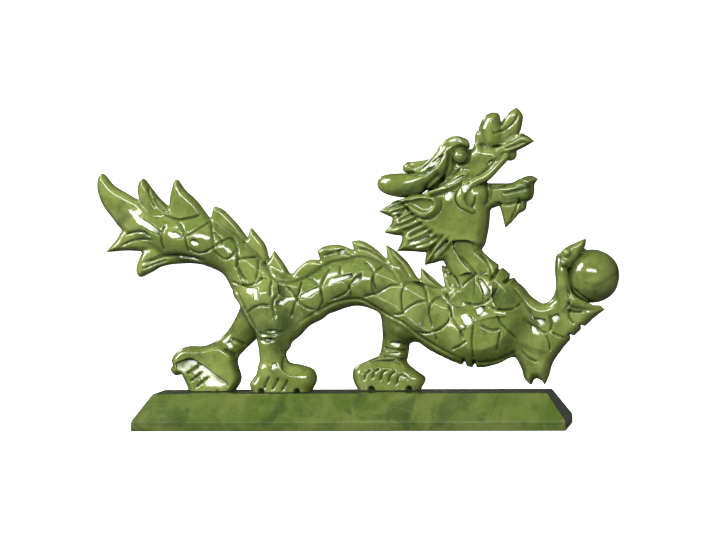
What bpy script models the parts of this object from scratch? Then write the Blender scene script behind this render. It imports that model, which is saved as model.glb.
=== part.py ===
"""A carved jade dragon holding a pearl, standing on a bevelled jade base.

Run with: blender --background --python part.py, or from Blender's text editor.
Two solids are made: "base", the long bevelled plinth, and "dragon", the one-piece carving.

Frame: metres, +Z up, origin at the centre of the base's underside. The dragon faces +X and the
side that is carved for show faces -Y.

The dragon was sawn from a slab and rounded over, so most of its forms are drawn in the XZ plane
on the carver's grid. One grid step is 1/520 of the dragon's length from tail to pearl. On it, x
runs from the middle of the base, z up from the soles, and y across the slab, away from the viewer.
"""

import math

import bmesh
import bpy
import numpy as np
from mathutils import Matrix, Vector

# Driving dimensions, in metres
DRAGON_LENGTH = 0.203
BASE_LENGTH = 0.168
BASE_DEPTH = 0.041
BASE_HEIGHT = 0.014
BASE_RIM_HEIGHT = 0.0037
BASE_SLOPE_INSET = 0.0074
BASE_EDGE_ROUND = 0.0004
GLUE_GAP = 0.0003
DRAGON_FORWARD = 0.0027

# The carver's grid
GRID_STEPS = 520
GRID = DRAGON_LENGTH / GRID_STEPS
SOLE_HEIGHT = BASE_HEIGHT + GLUE_GAP

# The fused stone: sizes in grid steps, and how many triangles it keeps
VOXEL = 1.5
SMOOTHING_PASSES = 3
SMOOTHING_FACTOR = 0.5
DRAGON_TRIANGLES = 9300
PLATE_ROUND = 2.2
HAUNCH_ROUND = 6.0

# Colours of the stone
BASE_GREEN = (0.13, 0.21, 0.035, 1.0)
DRAGON_GREEN = (0.19, 0.29, 0.045, 1.0)
POLISH_ROUGHNESS = 0.14

SHARP = True

# Round forms: stations of (x, z, y, radius) along a tube
SPINE = [
    (-208, 158, 0, 15), (-186, 154, 0, 22), (-158, 151, 0, 23), (-125, 132, 0, 19),
    (-100, 104, 0, 24), (-66, 89, 0, 24), (-36, 98, 0, 22.5), (-3, 108, 0, 23.5),
    (29, 100, 0, 24), (62, 77, 0, 26), (92, 60, 0, 29), (122, 54, 0, 33),
    (144, 69, 0, 31), (134, 97, 0, 27), (119, 115, 0, 22), (103, 135, 0, 18),
]
NEAR_HIND_LEG = [
    (-94, 92, -10, 24), (-83, 68, -15, 20), (-82, 50, -16, 16.5), (-83, 38, -16, 14), (-80, 22, -15, 15),
]
FAR_HIND_LEG = [(-98, 82, 8, 19), (-113, 60, 14, 15), (-126, 46, 16, 13.5), (-142, 32, 15, 15)]
FAR_FORE_LEG = [(49, 72, 8, 25), (38, 53, 13, 16), (34, 38, 14, 14), (32, 24, 14, 15)]
HORN = [
    (100, 241, -7, 11), (92, 235, -9, 11), (80, 222, -10, 11.5), (66, 211, -10, 12),
    (50, 204, -10, 11.5), (36, 203, -9, 10), (27, 205, -8, 7),
]
CREST = [(90, 230, 4, 8), (70, 221, 4, 7), (56, 222, 4, 6.5), (49, 222, 4, 5)]
LIP = [
    (143, 230, -12, 3.5), (134, 220, -14, 4), (122, 210, -16, 4.5), (109, 201, -17, 5),
    (101, 192, -18, 4.5), (105, 183, -18, 3.5), (113, 178, -17, 3),
]
TOP_CLAW = [(205, 128, -6, 6), (211, 137, -6, 6), (219, 143, -5, 4.5), (225, 148, -4, 2.5)]
SIDE_CLAW = [(204, 90, -10, 8), (202, 105, -10, 7.5), (202, 120, -9, 7), (201, 131, -8, 4.5)]
UNDER_CLAW = [(208, 94, -14, 6), (218, 87, -14, 5), (230, 84, -12, 3.5)]

# Balls: (x, z, y, radius)
PEARL = (234, 113, 0, 27)
EYE = (102.5, 232, -16, 7)
CHEEK = (118, 192, -4, 14)
NOSTRIL = (150, 234, 0, 6)

# Sawn plates: outline points (x, z), with SHARP at a tip or a notch
TAIL_FLAME = [
    (-256, 217), (-244, 204), (-230, 195.5), (-219, 190, SHARP), (-220, 203), (-216, 211.5), (-208, 203),
    (-199, 192), (-189, 182, SHARP), (-187, 198), (-182, 210.5), (-173, 199.5), (-160, 187),
    (-148, 169, SHARP),
    (-153, 140), (-188, 135), (-216, 141, SHARP), (-233, 141.5), (-253, 140.5, SHARP), (-243, 151.5),
    (-235, 161),
    (-247, 174), (-257, 189), (-262, 206),
]
TAIL_UNDERLEAF = [
    (-216, 141, SHARP), (-220, 132), (-223, 121), (-219, 115), (-208, 120), (-196, 126), (-173, 128),
    (-156, 129),
    (-143, 140), (-188, 150),
]
CHEEK_PLATE = [
    (122, 140), (129, 152), (132, 175), (130, 195), (118, 208), (104, 220), (87, 212), (67, 195), (54, 178),
    (62, 160), (82, 145), (97, 136),
]
SNOUT = [
    (110, 239), (115, 239), (117, 243), (121, 246), (127, 242), (139, 240), (144, 230), (138, 219),
    (130, 208),
    (121, 202), (104, 195), (87, 200), (82, 220), (97, 240),
]
NOSE_LOBE = [
    (121, 256), (121.5, 264), (126, 271.5), (133, 275.5), (139, 275), (141, 271), (142, 264), (144, 255),
    (139, 240), (127, 240),
]
NOSE_LEAF_TOP = [
    (143, 263, SHARP), (150, 273), (159, 281, SHARP), (165, 272), (164, 263), (161, 253), (147, 244),
    (134, 240), (132, 252),
]
NOSE_LEAF_LOW = [
    (134, 238), (147, 246), (163, 253.5), (169, 252), (177, 245.5, SHARP), (165, 239), (151, 233),
    (139, 231),
]
JAW = [
    (112, 199), (122, 205), (134, 205), (152, 205), (161, 208.5), (172, 212), (180, 208.5, SHARP), (175, 201),
    (174, 190), (166, 185.5), (150, 184), (137, 181), (124, 176), (112, 184),
]
BEARD_BACK = [(142, 187), (144, 176), (147, 160, SHARP), (157, 171), (160, 183), (156, 190)]
BEARD_FRONT = [(153, 190), (157, 174), (167, 177), (169, 187), (162, 192)]
EAR = [(42, 189, SHARP), (54, 177), (66, 170.5), (78, 175), (83, 184), (79, 193), (67, 195), (54, 193)]
MANE = [
    [(42, 189), (30, 183), (23, 178, SHARP), (34, 173.5), (46, 171), (67, 175), (67, 190)],
    [(40, 174), (34, 165), (28, 157, SHARP), (42, 154.5), (57, 158), (72, 165), (62, 178)],
    [(47, 157), (44, 147), (41, 139.5, SHARP), (56, 139), (70, 138.5), (84, 150), (82, 165), (62, 168)],
    [(70, 140), (68, 133), (67.5, 125.5, SHARP), (78, 128.5), (90, 133.5), (102, 142), (97, 158), (82, 155)],
]
FORELIMB = [
    (165, 101), (172, 92), (183, 86), (193, 90), (198, 101), (196.5, 118), (199, 134), (204, 133), (208, 120),
    (210, 102), (220, 90), (232, 84), (245, 80, SHARP), (234, 71), (222, 61), (212, 52), (202, 40), (193, 27),
    (189, 15), (185, 5.5, SHARP), (182, 9), (177, 11.5), (174, 10), (171, 5.5, SHARP), (166, 12), (163, 22),
    (158, 32), (147, 40), (137, 60),
]
HAUNCH = [
    (-122, 100), (-114, 86), (-107, 71), (-101, 61), (-96, 45), (-71, 42), (-66, 49), (-57, 56), (-47, 66),
    (-33, 76), (-40, 98), (-80, 112),
]
NEAR_HIND_FOOT = [
    (-96, 28), (-100, 16), (-106, 7), (-104, 0), (-100, -8), (-48, -8), (-44, 2), (-40, 12), (-46, 23),
    (-58, 24),
    (-69, 29), (-80, 34),
]
FAR_HIND_FOOT = [
    (-157, 43), (-170, 43), (-181, 38.5), (-188, 30), (-188, 20), (-180, 15), (-174, 6), (-168, -8),
    (-126, -8),
    (-120, 6), (-119.5, 16), (-124, 30), (-124, 40), (-138, 45),
]
FAR_FORE_FOOT = [
    (18, 34), (6, 28), (-3, 23), (-6, 14), (-3, 4), (2, -8), (58, -8), (65, 6), (65, 14), (56, 20.5),
    (49, 27), (36, 34),
]

# Back fins from the tail to the neck, each from its rear root over its tip to its front root
FINS = [
    [(-147, 170), (-146, 176), (-144, 183.5, SHARP), (-137, 181), (-126, 171), (-118, 162), (-112, 151)],
    [(-111, 151), (-108.5, 157), (-107, 161.5, SHARP), (-101, 154), (-93, 144), (-91, 130)],
    [(-89, 130), (-84.5, 138.5, SHARP), (-78, 129), (-70, 118), (-66, 113)],
    [(-67, 112), (-60, 122), (-52, 128), (-44, 130), (-34, 127)],
    [(-37, 129), (-40, 138.5, SHARP), (-33, 142), (-22, 144), (-11, 142), (0, 135)],
    [(-3, 136), (-5.5, 147, SHARP), (3, 148.5), (14, 143), (24, 134), (31, 124)],
    [(30, 126), (29, 142.5, SHARP), (38, 137), (49, 127), (57, 113), (62, 104)],
    [(63, 104), (63, 120, SHARP), (72, 113), (82, 104), (90, 96)],
    [(88, 98), (84, 122, SHARP), (92, 118), (99, 112), (104, 104)],
]
FIN_ROOT_DEPTH = 14.0
FIN_HALF_THICKNESS = 6.0

# Tail spikes: (x, z) at the root, the middle and the tip
TAIL_SPIKES = [
    [(-190, 156), (-233, 184), (-256, 210)],
    [(-176, 164), (-201, 189), (-215, 208)],
    [(-160, 166), (-175, 187), (-182, 206)],
    [(-200, 146), (-229, 146), (-248, 143)],
    [(-176, 138), (-204, 130), (-219, 119)],
]
SPIKE_RADII = (13.0, 7.5, 2.5)

# Feet: ankle (x, z, y), the depth its toes reach to, and the toe ends (x, z)
FEET = [
    ((-81, 32, -14), -20, [(-100, 6), (-87, 4), (-74, 4), (-61, 5), (-49, 10)]),
    ((-142, 34, 14), 12, [(-177, 31), (-177, 21), (-163, 8), (-148, 5), (-132, 6)]),
    ((33, 34, 14), 11, [(3, 14), (12, 6), (27, 4), (43, 4), (57, 11)]),
]
ANKLE_RADIUS = 13.0
TOE_RADIUS = 8.5

# Carved lines on the faces that look to -Y and +Y: (half width, depth, points (x, z))
CARVED_LINES = [
    (2.6, 2.2, [
        (-128, 158), (-118, 147), (-103, 132), (-90, 116), (-78, 111), (-66, 110), (-55, 114), (-38, 122),
        (-23, 129), (-8, 132), (7, 131), (20, 128), (31, 123), (42, 110), (46, 104),
    ]),
    (2.6, 2.4, [
        (-61, 67), (-38, 79), (-18, 87), (-3, 90), (7, 89), (22, 81), (47, 64), (77, 44), (105, 30),
        (132, 30), (157, 40),
    ]),
    (3.0, 3.0, [(119, 202), (108, 198), (100, 190), (103, 182), (112, 177)]),
    (2.4, 2.2, [(146, 196), (160, 198), (172, 197)]),
    (2.6, 3.0, [(42, 189), (56, 173), (70, 170), (82, 176), (84, 190)]),
    (2.0, 2.0, [(100, 248), (88, 243), (78, 232)]),
    (2.4, 2.4, [(175, 67), (190, 55), (203, 52)]),
    (2.4, 2.4, [(207, 82), (222, 80), (238, 80)]),
]

# Flutes of the mane run in bundles: (root (x, z), tip (x, z), spread at the root, count)
MANE_FLUTES = [
    ((62, 176), (26, 180), 9, 2),
    ((70, 166), (32, 160), 14, 3),
    ((80, 154), (44, 142), 14, 3),
    ((96, 150), (70, 128), 12, 3),
]
FLUTE_HALF_WIDTH = 2.2
FLUTE_DEPTH = 2.2

# Scales: a net of bowed lines, in grid steps along the spine and in shares of the body's radius across it
SCALE_PITCH = 26.0
SCALE_SLANT = 17.0
SCALE_BOW = 5.0
SCALE_HALF_WIDTH = 3.0
SCALE_DEPTH = 1.8
SCALE_BACK_EDGE = 0.74
SCALE_BELLY_EDGE = -0.70
SCALE_FADE = 0.10
SKIN_BAND = 0.14
SPINE_SAMPLES = 24


def place(x, z, y=0.0):
    """A point of the carver's grid in metres, from the dragon's own origin between its soles."""
    return Vector((x, y, z)) * GRID


def clear_scene():
    """Empties the scene."""
    for obj in list(bpy.data.objects):
        bpy.data.objects.remove(obj)


def jade(name, colour):
    """A polished green stone."""
    stone = bpy.data.materials.new(name)
    stone.use_nodes = True
    shader = stone.node_tree.nodes["Principled BSDF"]
    shader.inputs["Base Color"].default_value = colour
    shader.inputs["Roughness"].default_value = POLISH_ROUGHNESS
    shader.inputs["Metallic"].default_value = 0.0
    stone.diffuse_color = colour
    return stone


class Stock:
    """The block of overlapping forms that is fused into one stone."""

    def __init__(self):
        self.forms = bmesh.new()

    def take(self, obj):
        """Adds a helper object's evaluated mesh to the stock and removes the helper."""
        bpy.context.scene.collection.objects.link(obj)
        bpy.context.view_layer.update()
        graph = bpy.context.evaluated_depsgraph_get()
        mesh = bpy.data.meshes.new_from_object(obj.evaluated_get(graph))
        mesh.transform(obj.matrix_world)
        self.forms.from_mesh(mesh)
        bpy.data.meshes.remove(mesh)
        bpy.data.objects.remove(obj)

    def ball(self, x, z, y, radius):
        bmesh.ops.create_icosphere(
            self.forms, subdivisions=3, radius=radius * GRID, matrix=Matrix.Translation(place(x, z, y))
        )

    def tube(self, stations):
        """A round limb through its stations, with rounded ends."""
        curve = bpy.data.curves.new("tube", "CURVE")
        curve.dimensions = "3D"
        curve.bevel_depth = GRID
        curve.bevel_resolution = 4
        curve.resolution_u = 5
        curve.use_fill_caps = True
        spline = curve.splines.new("BEZIER")
        spline.bezier_points.add(len(stations) - 1)
        for point, (x, z, y, radius) in zip(spline.bezier_points, stations):
            point.co = place(x, z, y)
            point.radius = radius
            point.handle_left_type = point.handle_right_type = "AUTO"
        self.take(bpy.data.objects.new("tube", curve))
        for x, z, y, radius in (stations[0], stations[-1]):
            self.ball(x, z, y, radius * 0.98)

    def plate(self, outline, y, half_thickness, rounding=PLATE_ROUND):
        """A flat form sawn to an outline, its edges rounded over."""
        curve = bpy.data.curves.new("plate", "CURVE")
        curve.dimensions = "2D"
        curve.fill_mode = "BOTH"
        curve.extrude = (half_thickness - rounding) * GRID
        curve.bevel_depth = rounding * GRID
        curve.offset = -rounding * GRID
        curve.bevel_resolution = 2
        curve.resolution_u = 5
        spline = curve.splines.new("BEZIER")
        spline.use_cyclic_u = True
        spline.bezier_points.add(len(outline) - 1)
        for point, (x, z, *sharp) in zip(spline.bezier_points, outline):
            point.co = (x * GRID, z * GRID, 0.0)
            point.handle_left_type = point.handle_right_type = "VECTOR" if sharp else "AUTO"
        obj = bpy.data.objects.new("plate", curve)
        obj.matrix_world = Matrix.Translation(place(0, 0, y)) @ Matrix.Rotation(math.radians(90), 4, "X")
        self.take(obj)

    def fuse(self, name):
        """Fuses the stock into one smooth stone object."""
        mesh = bpy.data.meshes.new(name)
        self.forms.to_mesh(mesh)
        self.forms.free()
        stone = bpy.data.objects.new(name, mesh)
        remesh = stone.modifiers.new("fuse", "REMESH")
        remesh.mode = "VOXEL"
        remesh.voxel_size = VOXEL * GRID
        smooth = stone.modifiers.new("polish", "SMOOTH")
        smooth.factor = SMOOTHING_FACTOR
        smooth.iterations = SMOOTHING_PASSES
        return bake(stone)


def bake(obj):
    """Applies an object's modifiers and gives the plain object back."""
    if obj.name not in bpy.context.scene.collection.objects:
        bpy.context.scene.collection.objects.link(obj)
    bpy.context.view_layer.update()
    graph = bpy.context.evaluated_depsgraph_get()
    mesh = bpy.data.meshes.new_from_object(obj.evaluated_get(graph))
    old = obj.data
    obj.modifiers.clear()
    obj.data = mesh
    bpy.data.meshes.remove(old)
    return obj


def fin_outline(points):
    """A back fin's outline, with its foot sunk in the ridge."""
    rear, front = points[0], points[-1]
    foot = [(front[0], front[1] - FIN_ROOT_DEPTH, SHARP), (rear[0], rear[1] - FIN_ROOT_DEPTH, SHARP)]
    return points + foot


def gather_forms(stock):
    """Puts every form of the dragon in the stock."""
    round_forms = (SPINE, NEAR_HIND_LEG, FAR_HIND_LEG, FAR_FORE_LEG, CREST, TOP_CLAW, SIDE_CLAW, UNDER_CLAW)
    for stations in round_forms:
        stock.tube(stations)
    for stations in (HORN, LIP):
        stock.tube(stations)
        stock.tube([(x, z, -y, radius) for x, z, y, radius in stations])
    for ball in (PEARL, EYE, CHEEK, NOSTRIL):
        stock.ball(*ball)
    stock.ball(EYE[0], EYE[1], -EYE[2], EYE[3])
    stock.plate(TAIL_FLAME, 0, 8)
    stock.plate(TAIL_UNDERLEAF, 0, 7)
    stock.plate(CHEEK_PLATE, 0, 19)
    stock.plate(SNOUT, 0, 16)
    stock.plate(NOSE_LOBE, 0, 11)
    stock.plate(NOSE_LEAF_TOP, 2, 8)
    stock.plate(NOSE_LEAF_LOW, -2, 9)
    stock.plate(JAW, 0, 12)
    stock.plate(BEARD_BACK, 0, 7)
    stock.plate(BEARD_FRONT, 0, 6)
    for side in (-1, 1):
        stock.plate(EAR, side * 18, 5)
    for lock in MANE:
        stock.plate(lock, 0, 16)
    stock.plate(FORELIMB, -4, 14)
    stock.plate(HAUNCH, -7, 15, HAUNCH_ROUND)
    stock.plate(NEAR_HIND_FOOT, -13, 11)
    stock.plate(FAR_HIND_FOOT, 14, 12)
    stock.plate(FAR_FORE_FOOT, 14, 11)
    for fin in FINS:
        stock.plate(fin_outline(fin), 0, FIN_HALF_THICKNESS)
    for spike in TAIL_SPIKES:
        stock.tube([(x, z, 0, radius) for (x, z), radius in zip(spike, SPIKE_RADII)])
    for (x, z, y), toe_y, toes in FEET:
        for toe_x, toe_z in toes:
            stock.tube([(x, z, y, ANKLE_RADIUS), (toe_x, toe_z, toe_y, TOE_RADIUS)])


def spine_samples():
    """Points (x, z), radii and arc lengths along the spine."""
    line = []
    for start, end, before, after in zip(SPINE, SPINE[1:], SPINE[:1] + SPINE, SPINE[2:] + SPINE[-1:]):
        for step in np.linspace(0.0, 1.0, SPINE_SAMPLES, endpoint=False):
            a, b, c, d = (np.array([p[0], p[1], p[3]], float) for p in (before, start, end, after))
            line.append(0.5 * (2 * b + (c - a) * step + (2 * a - 5 * b + 4 * c - d) * step**2
                               + (3 * b - a - 3 * c + d) * step**3))
    line = np.array(line)
    steps = np.hypot(*np.diff(line[:, :2], axis=0).T)
    return line[:, :2], line[:, 2], np.concatenate([[0.0], np.cumsum(steps)])


def scale_grooves(points):
    """How deep the net of scales is cut at points (x, y, z) on the body."""
    centres, radii, lengths = spine_samples()
    flat = points[:, [0, 2]]
    nearest = np.argmin(((flat[:, None, :] - centres[None]) ** 2).sum(axis=2), axis=1)
    nearest = np.clip(nearest, 1, len(centres) - 2)
    along = centres[nearest + 1] - centres[nearest - 1]
    along /= np.linalg.norm(along, axis=1, keepdims=True)
    offset = flat - centres[nearest]
    radius = radii[nearest]
    across = (offset[:, 1] * along[:, 0] - offset[:, 0] * along[:, 1]) / radius
    length = lengths[nearest] + (offset * along).sum(axis=1)
    shift = SCALE_BOW * (1.0 - across**2)
    lines = [(length + side * SCALE_SLANT * across + shift) / SCALE_PITCH for side in (-1, 1)]
    gap = SCALE_PITCH * np.minimum(*(abs(line - np.round(line)) for line in lines))
    cut = groove(gap, SCALE_HALF_WIDTH, SCALE_DEPTH)
    inside = np.minimum(SCALE_BACK_EDGE - across, across - SCALE_BELLY_EDGE) / SCALE_FADE
    skin = abs(np.hypot(np.linalg.norm(offset, axis=1), points[:, 1]) / radius - 1.0) < SKIN_BAND
    return cut * np.clip(inside, 0.0, 1.0) * skin


def groove(gap, half_width, depth):
    """A rounded V across a carved line."""
    return depth * np.clip(1.0 - (gap / half_width) ** 2, 0.0, 1.0)


def line_gap(flat, line):
    """Distance in the XZ plane from each point to a carved line."""
    gap = np.full(len(flat), np.inf)
    for start, end in zip(np.array(line[:-1], float), np.array(line[1:], float)):
        run = end - start
        share = np.clip(((flat - start) @ run) / (run @ run), 0.0, 1.0)
        gap = np.minimum(gap, np.linalg.norm(flat - start - share[:, None] * run, axis=1))
    return gap


def mane_lines():
    """The flutes of the mane, spreading from each lock's tip to its root."""
    lines = []
    for root, tip, spread, count in MANE_FLUTES:
        run = Vector(tip) - Vector(root)
        side = Vector((-run.y, run.x)).normalized()
        for step in range(count):
            shift = spread * (step / (count - 1) - 0.5)
            lines.append([Vector(root) + side * shift, Vector(tip) + side * shift * 0.35 - run * 0.12])
    return lines


def carve(dragon):
    """Cuts the scales, the long grooves and the flutes into both faces of the stone."""
    mesh = dragon.data
    count = len(mesh.vertices)
    places = np.empty(count * 3)
    normals = np.empty(count * 3)
    mesh.vertices.foreach_get("co", places)
    mesh.vertex_normals.foreach_get("vector", normals)
    places = places.reshape(-1, 3)
    normals = normals.reshape(-1, 3)
    points = places / GRID
    flat = points[:, [0, 2]]
    cut = scale_grooves(points)
    for half_width, depth, line in CARVED_LINES:
        cut = np.maximum(cut, groove(line_gap(flat, line), half_width, depth))
    for line in mane_lines():
        cut = np.maximum(cut, groove(line_gap(flat, line), FLUTE_HALF_WIDTH, FLUTE_DEPTH))
    cut *= abs(normals[:, 1])
    places -= normals * (cut * GRID)[:, None]
    mesh.vertices.foreach_set("co", places.ravel())
    mesh.update()


def make_dragon(stone):
    """The one-piece carving, flat under its feet."""
    stock = Stock()
    gather_forms(stock)
    dragon = stock.fuse("dragon")
    carve(dragon)
    thin = dragon.modifiers.new("facets", "DECIMATE")
    thin.ratio = min(1.0, DRAGON_TRIANGLES / sum(len(face.vertices) - 2 for face in dragon.data.polygons))
    thin.use_collapse_triangulate = True
    bake(dragon)
    work = bmesh.new()
    work.from_mesh(dragon.data)
    cut = bmesh.ops.bisect_plane(
        work, geom=work.verts[:] + work.edges[:] + work.faces[:], plane_co=(0, 0, 0),
        plane_no=(0, 0, 1), clear_inner=True,
    )
    rim = [part for part in cut["geom_cut"] if isinstance(part, bmesh.types.BMEdge)]
    bmesh.ops.holes_fill(work, edges=rim)
    bmesh.ops.triangulate(work, faces=work.faces[:])
    work.to_mesh(dragon.data)
    work.free()
    dragon.data.materials.clear()
    dragon.data.materials.append(stone)
    dragon.data.shade_smooth()
    dragon.location = (DRAGON_FORWARD, 0.0, SOLE_HEIGHT)
    return dragon


def make_base(stone):
    """The long plinth: an upright rim, four slopes and a flat top."""
    work = bmesh.new()
    made = bmesh.ops.create_grid(work, x_segments=1, y_segments=1, size=0.5)
    bmesh.ops.scale(work, vec=(BASE_LENGTH, BASE_DEPTH, 1), verts=made["verts"])
    floor = work.faces[:]
    rim = bmesh.ops.extrude_face_region(work, geom=floor)
    rim_verts = [part for part in rim["geom"] if isinstance(part, bmesh.types.BMVert)]
    bmesh.ops.translate(work, vec=(0, 0, BASE_RIM_HEIGHT), verts=rim_verts)
    rim_face = [part for part in rim["geom"] if isinstance(part, bmesh.types.BMFace)]
    top = bmesh.ops.extrude_face_region(work, geom=rim_face)
    top_verts = [part for part in top["geom"] if isinstance(part, bmesh.types.BMVert)]
    bmesh.ops.delete(work, geom=rim_face, context="FACES_ONLY")
    for vert in top_verts:
        vert.co.x -= BASE_SLOPE_INSET if vert.co.x > 0 else -BASE_SLOPE_INSET
        vert.co.y -= BASE_SLOPE_INSET if vert.co.y > 0 else -BASE_SLOPE_INSET
        vert.co.z = BASE_HEIGHT
    bmesh.ops.recalc_face_normals(work, faces=work.faces[:])
    mesh = bpy.data.meshes.new("base")
    work.to_mesh(mesh)
    work.free()
    mesh.materials.append(stone)
    base = bpy.data.objects.new("base", mesh)
    bpy.context.scene.collection.objects.link(base)
    edge = base.modifiers.new("polished edges", "BEVEL")
    edge.width = BASE_EDGE_ROUND
    edge.segments = 2
    return base


def main():
    clear_scene()
    make_base(jade("base jade", BASE_GREEN))
    make_dragon(jade("dragon jade", DRAGON_GREEN))


main()
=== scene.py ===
"""The looks of the jade dragon carving: the fine carved stone, its plinth and a plain stage.

The dragon is carved as a distance field: a grid of numbers that say how far each point is from the
stone's surface. Forms are added to it, lines are cut into it, and a skin is laid over it at the end.

All forms are drawn on the carver's grid, which the construction shares: x runs from the middle of the
plinth to the right, z up from the soles, and y across the slab, away from the viewer.
"""

import math

import bmesh
import bpy
import numpy as np
from bpy.props import FloatProperty, FloatVectorProperty, PointerProperty
from bpy.types import Operator, Panel, PropertyGroup
from mathutils import Matrix, Vector


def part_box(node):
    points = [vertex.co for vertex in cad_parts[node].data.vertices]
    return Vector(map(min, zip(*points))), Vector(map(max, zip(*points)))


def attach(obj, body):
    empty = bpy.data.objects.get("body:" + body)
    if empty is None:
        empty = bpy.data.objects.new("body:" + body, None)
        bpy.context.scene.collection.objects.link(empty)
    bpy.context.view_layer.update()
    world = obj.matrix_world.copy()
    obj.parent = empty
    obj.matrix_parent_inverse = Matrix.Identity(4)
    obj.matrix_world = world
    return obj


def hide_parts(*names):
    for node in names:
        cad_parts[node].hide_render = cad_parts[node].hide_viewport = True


bl_info = {
    "name": "Jade Dragon Carving",
    "version": (1, 0, 0),
    "blender": (4, 5, 0),
    "location": "3D View > Sidebar > Jade",
    "description": "Carves a jade dragon on its plinth and sets a plain stage round it",
    "category": "Object",
}

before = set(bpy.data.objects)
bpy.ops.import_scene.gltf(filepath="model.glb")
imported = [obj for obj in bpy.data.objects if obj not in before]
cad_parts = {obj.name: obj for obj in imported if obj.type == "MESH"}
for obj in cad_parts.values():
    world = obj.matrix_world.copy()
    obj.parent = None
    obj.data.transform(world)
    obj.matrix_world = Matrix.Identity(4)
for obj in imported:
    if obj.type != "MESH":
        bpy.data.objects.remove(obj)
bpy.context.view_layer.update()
DRAGON_LOW, DRAGON_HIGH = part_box("dragon")

# One step of the carver's grid, in metres, and where the grid's origin lies on the plinth
GRID = 0.203 / 520
FORWARD = 0.0027
SOLE_HEIGHT = DRAGON_LOW[2]

# How far under the soles the stone is cut off, before its skin is levelled at the soles
GLUE_DEPTH = 0.6

# The block that is carved, in grid steps, and the distance that its empty cells start with
BLOCK_LOW = (-270.0, -37.0, -4.0)
BLOCK_HIGH = (272.0, 37.0, 290.0)
FAR = 40.0

# How far beyond its fillet a round form is worked out
MARGIN = 3.0

TRIANGLES = 190000
FEWEST_TRIANGLES = 1000

# How much further right and higher a point is seen for each step that it lies deeper in the slab
SEEN_RIGHT = 0.127
SEEN_UP = 0.029

# Where lines go that are drawn as they're seen on the near face: a little further right and higher
NEAR_FACE_SHIFT = (2.2, 0.7)

# Marks a point of a line or an outline as a corner, where the curve would otherwise run smoothly
SHARP = True

# Round forms: stations of (x, z, y, radius)
SPINE = [
    (-249, 199, 0, 6), (-232, 180, 0, 11), (-208, 163, 0, 16), (-186, 154, 0, 21), (-158, 151, 0, 23),
    (-125, 132, 0, 19), (-99, 104, 0, 23.5), (-66, 89, 0, 24), (-36, 98, 0, 22.5), (-3, 108, 0, 23.5),
    (29, 100, 0, 24), (62, 78, 0, 26), (92, 61, 0, 29), (122, 55, 0, 32.5), (142, 70, 0, 30.5),
    (132, 97, 0, 26), (117.5, 115, 0, 21), (101.5, 135, 0, 17.5),
]
NEAR_HIND_LEG = [
    (-94, 92, -10, 24), (-84, 68, -15, 19), (-84, 50, -16, 15.5), (-84.5, 37, -16, 13.5),
    (-82, 20, -15, 14),
]
FAR_HIND_LEG = [(-100, 82, 8, 19), (-116, 61, 14, 14.5), (-129, 47, 16, 13), (-146, 32, 15, 14.5)]
FAR_FORE_LEG = [(47, 73, 8, 25), (37, 54, 13, 15), (34, 38, 14, 14), (31, 24, 14, 14)]
HORN = [
    (104, 242, -7, 8), (96, 239, -9, 10), (86, 229, -11, 11), (76, 217, -12, 11.5), (62, 207, -12, 11.5),
    (46, 203.5, -11, 12), (35, 204, -10, 11), (29, 205, -9, 9),
]
CREST = [(92, 233, -3, 8), (78, 223.5, -4, 7.5), (64, 220.5, -4, 7), (52, 220.5, -4, 6.5)]
BROW = [(84, 240, -14, 3.2), (92, 246, -13, 3.6), (100, 248, -12, 3.6), (108, 244, -11, 3.0)]
LIP = [
    (148, 231, -8, 3.6), (140, 222.5, -11, 3.8), (129, 212, -14, 4.0), (115, 205, -17, 4.2),
    (105, 197, -19, 4.4), (102, 189, -20, 4.0), (106, 182, -20, 3.4), (114, 177, -19, 2.6),
]
CHEEK_RIDGE = [(108, 214, -15, 3.0), (98, 206, -18, 3.4), (84, 200, -19, 3.0), (68, 195, -18, 2.4)]
THUMB = [(207, 84, -13, 8.5), (205, 100, -16, 7), (204, 116, -16, 6), (202, 131, -14, 3.5)]
UNDER_CLAW = [(206, 96, -18, 5), (215, 88, -19, 5), (228, 83, -15, 4), (240, 81, -10, 2.5)]
FAR_CLAW = [(205, 96, 12, 8), (210, 112, 16, 7), (216, 126, 16, 6), (224, 136, 12, 3.5)]

# Balls: (x, z, y, radius)
PEARL = (232.6, 112.2, 0, 26.4)
EYE = (104, 231.5, -15, 7.0)
CHEEK = (119, 192, -8, 13)
NOSTRIL = (152.5, 233, 0, 6.5)
KNUCKLES = [(209, 136, -21, 4.2), (206, 126, -21, 3.6)]

# How much further left than the near eye the far one sits
FAR_EYE_SHIFT = 2.0

# Forms sawn from the slab: outline points (x, z), with SHARP at a tip or a notch
CURL = [
    (201, 133), (205, 139), (211, 143), (218, 146), (226, 149.5, SHARP), (225.5, 142), (221, 134),
    (215, 126), (211, 120), (206, 122),
]
TAIL_SPIKES = [
    [(-257, 217.5), (-245, 205), (-230, 196), (-219, 190, SHARP), (-205, 177), (-186, 160), (-192, 148),
     (-216, 152), (-235, 161), (-247, 174), (-257, 189), (-262, 206)],
    [(-216, 212), (-208, 203), (-199, 192), (-189, 182, SHARP), (-172, 166), (-186, 158), (-205, 170),
     (-219, 190, SHARP), (-220.5, 203)],
    [(-182, 211), (-173, 200), (-160, 187), (-147, 169, SHARP), (-150, 152), (-170, 156), (-184, 170),
     (-189, 182, SHARP), (-187, 198)],
    [(-253, 140.5, SHARP), (-243, 151.5), (-235, 161), (-214, 160), (-190, 153), (-192, 140),
     (-216, 141, SHARP), (-233, 141.5)],
    [(-219.5, 115), (-208, 120), (-196, 126), (-173, 128.5), (-156, 129), (-140, 136), (-165, 146),
     (-200, 146), (-216, 141, SHARP), (-220, 132), (-223, 121)],
]
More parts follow.
